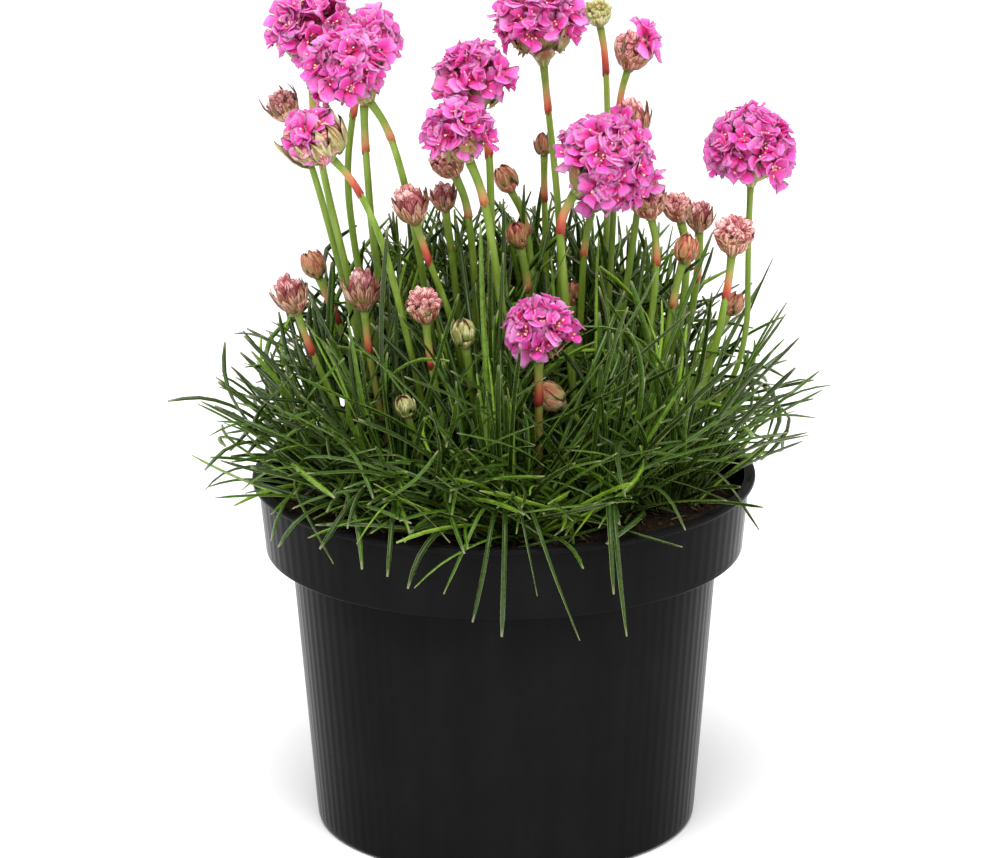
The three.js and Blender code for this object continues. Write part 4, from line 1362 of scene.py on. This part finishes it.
def fill_lines(crown, dice, stems, heads, windows):
    """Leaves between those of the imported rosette, clear of pot, peat, stems and heads."""
    low, high = (np.array(corner) for corner in cad_box)
    centres = np.array([centre for centre, _ in heads])
    radii = np.array([radius for _, radius in heads])
    lines = []
    count = round(FILL_LEAVES * (1 + BACK_LEAVES * how_far_back(crown)))
    for index in range(count):
        share = (index + 0.5) / count
        for _ in range(FILL_TRIES):
            line = arching_line(crown, share, GOLDEN_ANGLE * index, dice)
            tip = line[-1]
            if math.hypot(tip[0], tip[1]) > PLANT_REACH or line[:, 2].min() < LOWEST_FILL:
                continue
            if not in_air(line[1:]) or not shows_peat(line[3:]):
                continue
            if outside(line).any() or index % STRAY_EVERY and not in_mound(line):
                continue
            if np.any(line < low + 0.8 * MM) or np.any(line > high - 0.8 * MM):
                continue
            if np.linalg.norm(line[2:, None] - stems[None], axis=2).min() < LEAF_CLEAR_OF_STEM:
                continue
            if np.any(np.linalg.norm(line[:, None] - centres[None], axis=2) < radii + LEAF_CLEAR_OF_HEAD):
                continue
            if window_shifts(line[3:], windows)[0].max() > 0:
                continue
            lines.append(line)
            break
    return lines


def make_leaves(number, stems, heads, windows):
    """All leaves of one rosette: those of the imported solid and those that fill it."""
    node = f"rosette_{number:02d}"
    dice = random.Random(LEAF_SEED + number)
    own = []
    for line in leaf_lines(node):
        parted = part_aside(slant_hanging(cut_back(smooth_path(line, LEAF_STEPS + 1))), windows)
        if parted is not None:
            own.append(hang_to(parted, LOWEST_TIP))
    fill = fill_lines(crown_place(node), dice, stems, heads, windows)
    lines = own + fill
    # The imported rosette's own leaves hang out in front, in the full key light, and are held to darker
    # greens: painted shade.
    brightest = [0.7] * len(own) + [1.0] * len(fill)
    shades = [np.full(len(line), dice.uniform(0.0, most)) for line, most in zip(lines, brightest)]
    leaves = path_piece(f"leaves_{number:02d}", lines, {"shade": shades})
    settle(grow(leaves, TREES["leaf"], {
        "Material": MATERIALS["leaf"],
        "Width": LEAF_WIDTH,
        "Thickness": LEAF_THICKNESS,
        "Twist": 1.6,
    }))
    return leaves


# Stems

def make_stem(name, flower, tan):
    """Stem from the soil to the head, tan low down where asked."""
    path = smooth_path(flower["line"], 28)
    along = np.linspace(0, 1, len(path))
    girth = STEM_GIRTH * flower["stoutness"] * (1.04 + 0.04 * np.cos(9 * along) - 0.1 * along)
    stem = path_piece(name, [path], {"girth": [girth], "tan": [tan * (1.2 - along).clip(0, 1)]})
    settle(grow(stem, TREES["stem"], {"Material": MATERIALS["stem"], "Sides": 9}))
    return stem


def make_sheath(name, flower, seed, green=False):
    """Closed tube round the top of the stem, its lower edge torn into points."""
    sides, rings = 12, 7
    dense = smooth_path(flower["line"], 200)
    reached = reached_along(dense)
    dice = random.Random(seed)
    torn = [dice.uniform(-1.6, 1.6) * MM * (1 if side % 2 else -0.4) for side in range(sides)]
    points = []
    along = []
    for ring in range(rings):
        share = ring / (rings - 1)
        waist = 1.08 - 0.12 * math.sin(math.pi * share) + 0.04 * share ** 4
        girth = SHEATH_GIRTH * flower["stoutness"] * waist
        for side, (cosine, sine) in enumerate(directions(sides)):
            lift = torn[side] * (1 - share) ** 3
            place = reached[-1] - SHEATH_LENGTH * (1 - share) + lift
            behind, centre, ahead = (
                np.array([np.interp(place + step, reached, dense[:, axis]) for axis in range(3)])
                for step in (-MM, 0, MM)
            )
            direction = unit(ahead - behind)
            across = unit(np.cross(direction, (0.0, 1.0, 0.0)))
            beside = np.cross(direction, across)
            points.append(centre + girth * (cosine * across + sine * beside))
            along.append(share)
    faces = []
    for ring in range(rings - 1):
        for side in range(sides):
            following = (side + 1) % sides
            near, far = ring * sides, (ring + 1) * sides
            faces.append((near + side, near + following, far + following, far + side))
    for ring, turn in ((0, 1), (rings - 1, -1)):
        points.append(np.mean(points[ring * sides:(ring + 1) * sides], axis=0))
        along.append(ring / (rings - 1))
        middle = len(points) - 1
        for side in range(sides):
            pair = (ring * sides + side, ring * sides + (side + 1) % sides)
            faces.append((middle, *pair[::-turn]))
    shade = [1.0 if green else 0.8 * dice.random()] * len(points)
    sheath = new_piece(name, points, faces, {"along": along, "shade": shade})
    sheath.data.materials.append(MATERIALS["sheath"])
    return sheath


# Heads

def head_sizes(flower, seed, **more):
    """Inputs that place copies on a head."""
    sizes = {
        "Copies at a Place": 1,
        "First Angle": 0.0,
        "Last Angle": 1.6,
        "Seat": 0.0,
        "Seat Spread": 0.0,
        "Lean": 0.0,
        "Lean Spread": 0.0,
        "Turn Spread": 0.12,
        "Tilt Spread": 0.0,
        "Upright": 0.0,
        "Size": 1.0,
        "Size Spread": 0.08,
        "Last Size": 1.0,
        "Stretch": 1.0,
        "Ruffle": 0.0,
        "Ruffle Scale": 400.0,
        "Centre": tuple(flower["centre"]),
        "Axis": tuple(flower["axis"]),
        "Seed": seed,
    }
    sizes.update(more)
    return sizes


def grow_layers(name, flower, seed, layers):
    """Piece made of layers of copies on one head."""
    piece = new_piece(name, [], [])
    for layer in layers:
        grow(piece, TREES["copies"], head_sizes(flower, seed, **layer))
    return settle(piece)


def head_layer(shape, material, places, first, last, more):
    """Inputs for copies of a shape that are set between two angles from a head's axis."""
    return {
        "Shape": SHAPES[shape],
        "Material": MATERIALS[material],
        "Places": places,
        "First Angle": first,
        "Last Angle": last,
        **more,
    }


def single(shape, material, size, stretch=1.0):
    """Inputs for one copy of a shape in the middle of a head."""
    return head_layer(shape, material, 1, 0.0, 0.0, {"Size": size, "Size Spread": 0.0, "Stretch": stretch})


def floret_layer(florets, spread, seat):
    """Petals of five-petalled florets set round a head."""
    return head_layer("petal", "petal", florets, 0.0, spread, {
        "Copies at a Place": 5,
        "Seat": seat,
        "Seat Spread": 1.3 * MM,
        "Lean": -0.6,
        "Lean Spread": 0.42,
        "Turn Spread": math.pi,
        "Tilt Spread": 0.5,
        "Upright": 0.16,
        "Size Spread": 0.2,
        "Ruffle": 2.8 * MM,
        "Ruffle Scale": 270.0,
    })


def young_floret_layer(florets, spread, seat):
    """Petals of half-open florets that stand between the open ones."""
    return {
        **floret_layer(max(5, round(YOUNG_FLORETS * florets)), spread, seat),
        "Seat Spread": 0.7 * MM,
        "Lean": -1.02,
        "Lean Spread": 0.3,
        "Size": 0.94,
    }


def stamen_layer(florets, spread, seat):
    """Five stamens in the throat of each floret."""
    return head_layer("stamen", "stamen", florets, 0.0, spread, {
        "Copies at a Place": 5,
        "Seat": seat,
        "Seat Spread": 1.3 * MM,
        "Lean": 0.34,
        "Lean Spread": 0.2,
        "Turn Spread": math.pi,
        "Tilt Spread": 0.45,
        "Upright": 0.16,
    })


def make_heart(name, flower, seed, florets, spread, half_open):
    """Core, cup, tubes, stamens and bracts of a bloom, and closed florets on a half-open one."""
    radius = flower["radius"]
    way = {"Axis": tuple(flower["open axis"])}
    layers = [
        single("core", "tube", 0.46 * radius),
        single("cup", "bract", radius),
        head_layer("tube", "tube", florets, 0.0, spread, {
            "Seat": radius - TUBES_BELOW, "Seat Spread": 1.0 * MM, "Tilt Spread": 0.1,
            "Size Spread": 0.0, **way,
        }),
        {**stamen_layer(florets, spread, radius - STAMENS_BELOW), **way},
        {
            **stamen_layer(florets, spread, radius - TALL_STAMENS_BELOW),
            "Lean": 0.9,
            "Lean Spread": 0.5,
            "Copies at a Place": 3,
            **way,
        },
        head_layer("scale", "bract", 18, 3.0, 2.3, {
            "Size": 0.58 * radius, "Size Spread": 0.18, "Turn Spread": 0.35, "Stretch": 1.12,
        }),
        head_layer("bract", "bract", 16, 2.7, 2.05, {
            "Seat": 0.5 * radius, "Lean": -0.2, "Lean Spread": 0.6, "Turn Spread": math.pi,
            "Size Spread": 0.3,
        }),
    ]
    if half_open:
        layers += [
            head_layer("tall scale", "papery cup", 15, 2.8, 2.2, {
                "Size": 0.8 * radius, "Size Spread": 0.14, "Turn Spread": 0.35,
            }),
            head_layer("lump", "bud lump", 60, 0.0, 2.1, {
                "Seat": 0.42 * radius, "Seat Spread": 0.06 * radius, "Tilt Spread": 0.4,
                "Size": 0.16 * radius, "Size Spread": 0.3,
            }),
        ]
    return grow_layers(name, flower, seed, layers)


def make_bud(name, flower, number):
    """Closed or opening head."""
    radius = flower["radius"]
    is_globe = number in GLOBES
    is_cup = number in CUPS
    material = BUD_COLOURS.get(number, "bud" if is_globe or is_cup else "closed bud")
    lump = BUD_COLOURS.get(number, "bud lump")
    layers = [
        single("core", "bud heart", (0.7 if is_globe else 0.84) * radius, 1.12),
        single("round neck" if is_globe else "neck", material, radius),
    ]
    if is_globe:
        layers += [
            head_layer("broad scale", material, 17, 2.9, 2.1, {
                "Size": 0.9 * radius, "Size Spread": 0.06, "Turn Spread": 0.35,
            }),
            head_layer("lump", lump, 42, 0.0, 1.85, {
                "Seat": 0.48 * radius, "Seat Spread": 0.04 * radius, "Upright": 0.1, "Tilt Spread": 0.25,
                "Size": 0.21 * radius, "Size Spread": 0.16,
            }),
        ]
    elif is_cup:
        layers += [
            head_layer("tall scale", material, 15, 2.8, 2.25, {
                "Size": 0.88 * radius, "Size Spread": 0.1, "Last Size": 0.96, "Turn Spread": 0.22,
                "Stretch": 1.16,
            }),
            head_layer("lump", lump, 30, 0.0, 1.3, {
                "Seat": 0.5 * radius, "Seat Spread": 0.08 * radius, "Upright": 0.6, "Tilt Spread": 0.3,
                "Size": 0.17 * radius, "Size Spread": 0.35, "Stretch": 1.2,
            }),
        ]
    else:
        layers.append(head_layer("closed scale", material, 14, 2.75, 1.6, {
            "Size": 0.92 * radius, "Size Spread": 0.08, "Last Size": 0.9, "Turn Spread": 0.28,
            "Stretch": 1.32,
        }))
    if number in SPIKY_BUDS:
        layers.append(head_layer("spike", "spike", 7, 2.5, 2.2, {
            "Seat": 0.95 * radius, "Lean": math.pi, "Lean Spread": 0.15, "Turn Spread": 0.3,
            "Size Spread": 0.2,
        }))
    return grow_layers(name, flower, BUD_SEED + number, layers)


# Making everything

TREES = {"copies": copies_tree(), "leaf": leaf_tree(), "stem": stem_tree(), "scatter": scatter_tree()}
MATERIALS = {
    "pot": pot_plastic(),
    "peat": peat_matter(),
    "leaf": leaf_green(),
    "stem": stem_green(),
    "sheath": sheath_paper(),
    "petal": petal_pink(),
    "stamen": stamen_cream(),
    "tube": tube_rose(),
    "bract": bract_brown(),
    "floor": floor_paper(),
}
# Each bud material's name, and its colours at the foot, in the streaks from dark to light, and at the rim
BUD_TINTS = {
    "bud": ("bud_scale", (0.2, 0.2, 0.045), (0.17, 0.025, 0.016), (0.33, 0.07, 0.045),
            (0.42, 0.17, 0.1), (0.68, 0.46, 0.32)),
    "bud lump": ("bud_lump", (0.26, 0.04, 0.045), (0.2, 0.012, 0.026), (0.44, 0.05, 0.085),
                 (0.68, 0.27, 0.25), (0.86, 0.62, 0.56)),
    "closed bud": ("bud_closed", (0.24, 0.26, 0.06), (0.26, 0.03, 0.015), (0.46, 0.1, 0.055),
                   (0.54, 0.2, 0.1), (0.66, 0.34, 0.2)),
    # Salmon-orange bud with painted light: brighter than its own colours, to make up for the shade that it
    # sits in.
    "orange bud with painted light": ("bud_orange_painted_light", (0.62, 0.6, 0.2), (0.82, 0.2, 0.1), (0.9, 0.36, 0.2),
                   (0.92, 0.52, 0.32), (0.94, 0.7, 0.46)),
    "green bud": ("bud_green", (0.22, 0.31, 0.055), (0.28, 0.17, 0.04), (0.34, 0.33, 0.08),
                  (0.44, 0.46, 0.16), (0.7, 0.7, 0.4)),
    "papery cup": ("papery_cup", (0.26, 0.34, 0.08), (0.24, 0.12, 0.04), (0.36, 0.27, 0.1),
                   (0.5, 0.4, 0.19), (0.62, 0.54, 0.32)),
    "bud heart": ("bud_heart", (0.12, 0.06, 0.02), (0.12, 0.01, 0.015), (0.2, 0.02, 0.03),
                  (0.3, 0.05, 0.05), (0.4, 0.12, 0.12)),
    "spike": ("bud_spike", (0.16, 0.12, 0.04), (0.06, 0.015, 0.012), (0.1, 0.025, 0.02),
              (0.16, 0.06, 0.04), (0.3, 0.18, 0.1)),
}
MATERIALS.update({key: bud_scale(*tints) for key, tints in BUD_TINTS.items()})

# Turned shapes: number of sides, then (radius, height) up the axis; those of heads are shares of the radius
TURNED_SHAPES = {
    "stamen": (4, [
        (0, 0), (0.08 * MM, 0), (0.07 * MM, 2.1 * MM), (0.27 * MM, 2.3 * MM), (0.24 * MM, 2.8 * MM),
        (0, 2.95 * MM),
    ]),
    "tube": (6, [
        (0, 0), (0.5 * MM, 0), (0.6 * MM, 2.2 * MM), (1.0 * MM, 3.9 * MM), (0.5 * MM, 3.5 * MM),
        (0, 3.0 * MM),
    ]),
    "core": (12, [(math.sin(math.pi * step / 8), -math.cos(math.pi * step / 8)) for step in range(9)]),
    "lump": (6, [(0, -0.6), (0.7, 0.0), (1.0, 1.1), (0.8, 2.0), (0.3, 2.65), (0, 2.6)]),
    "cup": (16, [
        (0, -SEAT_SHARE - CUP_DEPTH - 0.02), (0.105, -SEAT_SHARE - CUP_DEPTH),
        (0.16, -SEAT_SHARE - 0.5 * CUP_DEPTH), (0.27, -SEAT_SHARE + 0.06), (0.36, -0.36), (0, -0.2),
    ]),
    "neck": (14, [(0, -1.25), (0.3, -1.2), (0.42, -1.02), (0.74, -0.72), (0.86, -0.4), (0, -0.3)]),
    "round neck": (14, [
        (0, -1.25), (0.28, -1.2), (0.32, -1.08), (0.6, -0.93), (0.84, -0.62), (0.93, -0.3), (0, -0.2),
    ]),
}
SHAPES = {
    key: new_piece(f"{key.replace(' ', '_')}_shape", *spindle(profile, sides))
    for key, (sides, profile) in TURNED_SHAPES.items()
}
SHAPES.update({
    "petal": petal_shape(PETAL_LENGTH, PETAL_WIDTH),
    "scale": scale_shape("scale_shape", 1.0, 0.7, 0.9, 0.13),
    "broad scale": scale_shape("broad_scale_shape", 0.98, 0.9, 0.75, 0.07),
    "tall scale": scale_shape("tall_scale_shape", 1.42, 0.62, 0.95, 0.32),
    "closed scale": scale_shape("closed_scale_shape", 1.5, 0.95, 0.95, 0.09),
    "bract": bract_shape("bract_shape", 4.6 * MM, 1.8 * MM, 1.1),
    "spike": bract_shape("spike_shape", 7.5 * MM, 1.3 * MM, 1.3),
    "crumb": crumb_shape(),
    "fibre": fibre_shape(),
})

blooms = [bloom_of(number) for number in range(1, BLOOMS + 1)]
for number, girth in BLOOM_GIRTHS.items():
    blooms[number - 1]["radius"] *= girth
buds = [bud_of(number) for number in range(1, BUDS + 1)]
flowers = blooms + buds
stem_points = np.vstack([smooth_path(flower["line"], 60) for flower in flowers])
head_balls = [(flower["centre"], flower["radius"]) for flower in flowers]
for kind, stems_shown in ((blooms, BLOOM_STEMS_SHOWN), (buds, BUD_STEMS_SHOWN)):
    for number, shown in stems_shown.items():
        kind[number - 1]["shown"] = shown
windows = windows_of(flowers)
stoutness = random.Random(STOUTNESS_SEED)
for flower, stout in zip(blooms, BLOOM_STOUTNESS):
    flower["stoutness"] = stout
for flower in buds:
    flower["stoutness"] = stoutness.uniform(*BUD_STOUTNESS)


def keep(piece, slot, *nodes):
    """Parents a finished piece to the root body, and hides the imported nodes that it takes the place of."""
    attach(piece, "root")
    if nodes:
        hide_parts(*nodes)


keep(make_pot(), "pot_plastic", "pot")

peat = make_peat()
keep(peat, "peat", "soil")
keep(strew("peat_crumbs", peat, SHAPES["crumb"], {
    "Material": MATERIALS["peat"], "Density": 130000.0, "Smallest": 0.35 * MM, "Largest": 1.5 * MM,
    "Sink": 0.1 * MM, "Flatness": 1.5, "Seed": 3,
}), "peat")
keep(strew("peat_fibres", peat, SHAPES["fibre"], {
    "Material": MATERIALS["bract"], "Density": 22000.0, "Smallest": 2.5 * MM, "Largest": 8 * MM,
    "Sink": -0.2 * MM, "Flatness": 0.25, "Seed": 7,
}), "peat")

for number in range(1, ROSETTES + 1):
    keep(make_leaves(number, stem_points, head_balls, windows), "leaf", f"rosette_{number:02d}")

for number, flower in enumerate(blooms, 1):
    radius = flower["radius"]
    spread = BLOOM_SPREADS[number - 1]
    florets = max(8, round(2 * math.pi * (1 - math.cos(spread)) * radius ** 2 / FLORET_AREA))
    tan = 1.0 if number == BROWN_BLOOM_STEM else 0.0
    keep(make_stem(f"flower_stem_{number:02d}", flower, tan), "stalk", f"bloom_stalk_{number:02d}")
    keep(make_sheath(f"flower_sheath_{number:02d}", flower, number, number == GREEN_BLOOM_SHEATH), "bud")
    half_open = number == HALF_OPEN_BLOOM
    flower["open axis"] = unit(flower["axis"] + half_open * np.array(OPEN_SIDE))
    petals = [floret_layer(florets, spread, radius - PETALS_BELOW)]
    if not half_open:
        petals.append(young_floret_layer(florets, spread, radius - YOUNG_PETALS_BELOW))
    petals = [{**layer, "Axis": tuple(flower["open axis"])} for layer in petals]
    keep(grow_layers(f"flower_petals_{number:02d}", flower, number, petals), "petal", f"bloom_{number:02d}")
    keep(make_heart(f"flower_heart_{number:02d}", flower, number, florets, spread, half_open), "bud")

for number, flower in enumerate(buds, 1):
    tan = 0.8 if number == BROWN_BUD_STEM else 0.0
    node = f"bud_{number:02d}"
    keep(make_stem(f"bud_stem_{number:02d}", flower, tan), "stalk", node)
    keep(make_sheath(f"bud_sheath_{number:02d}", flower, BUD_SEED + number, number in GREEN_SHEATHS), "bud")
    keep(make_bud(f"bud_head_{number:02d}", flower, number), "bud", node)

for number, (florets, facing) in OPEN_FLORETS.items():
    flower = {**buds[number - 1], "axis": unit(np.array(facing))}
    seat = flower["radius"] - OPEN_FLORETS_BELOW
    petals = [floret_layer(florets, OPEN_FLORETS_REACH, seat)]
    keep(grow_layers(f"bud_petals_{number:02d}", flower, number, petals), "petal")
    stamens = [stamen_layer(florets, OPEN_FLORETS_REACH, seat - OPEN_STAMENS_SUNK)]
    keep(grow_layers(f"bud_stamens_{number:02d}", flower, number, stamens), "petal")

for shape in SHAPES.values():
    bpy.data.objects.remove(shape)


# Studio

def make_floor():
    """Wide pale floor."""
    half = 6
    corners = [(-half, -half, 0), (half, -half, 0), (half, half, 0), (-half, half, 0)]
    floor = new_piece("studio_floor", corners, [(0, 1, 2, 3)])
    floor.data.materials.append(MATERIALS["floor"])


def add_softbox(name, place, target, size, power):
    """Square soft light that faces a point."""
    light = bpy.data.lights.new(name, "AREA")
    light.shape = "SQUARE"
    light.size = size
    light.energy = power
    lamp = bpy.data.objects.new(name, light)
    lamp.location = place
    lamp.rotation_euler = (Vector(target) - Vector(place)).to_track_quat("-Z", "Y").to_euler()
    scene.collection.objects.link(lamp)


def light_world(strength, low_front):
    """White surroundings, dimmer low down in front of the plant."""
    world = bpy.data.worlds.new("studio")
    world.use_nodes = True
    background = world.node_tree.nodes["Background"]
    w = Wiring(world.node_tree)
    way = w.node("ShaderNodeSeparateXYZ", {0: w.node("ShaderNodeTexCoord").outputs["Generated"]})
    behind = levels(w, way.outputs["Y"], -0.9, 0.0, low_front, 1.0)
    above = levels(w, way.outputs["Z"], 0.2, 0.7, 0.0, 1.0)
    share = w.math("MAXIMUM", behind, above)
    w.plug(background.inputs["Color"], ramp(w, share, [(0.0, (0, 0, 0)), (1.0, (1, 1, 1))]))
    background.inputs["Strength"].default_value = strength
    scene.world = world


def add_camera():
    """Camera at the photograph's viewing angle."""
    lens = bpy.data.cameras.new("camera")
    lens.lens = CAMERA_LENS
    lens.shift_x = CAMERA_SHIFT
    camera = bpy.data.objects.new("camera", lens)
    tilt = Matrix.Rotation(math.pi / 2 - CAMERA_PITCH, 4, "X") @ Matrix.Rotation(-CAMERA_ROLL, 4, "Z")
    camera.matrix_world = Matrix.Translation((0, -CAMERA_BACK, CAMERA_HEIGHT)) @ tilt
    scene.collection.objects.link(camera)
    scene.camera = camera


make_floor()
plant_middle = (0, 0, 0.12)
add_softbox("key_light", (-0.1, -0.8, 2.0), plant_middle, 1.3, 45)
add_softbox("fill_light", (0.5, -1.6, 0.7), plant_middle, 0.9, 7)
light_world(0.98, 0.3)
add_camera()
scene.view_settings.view_transform = "Standard"
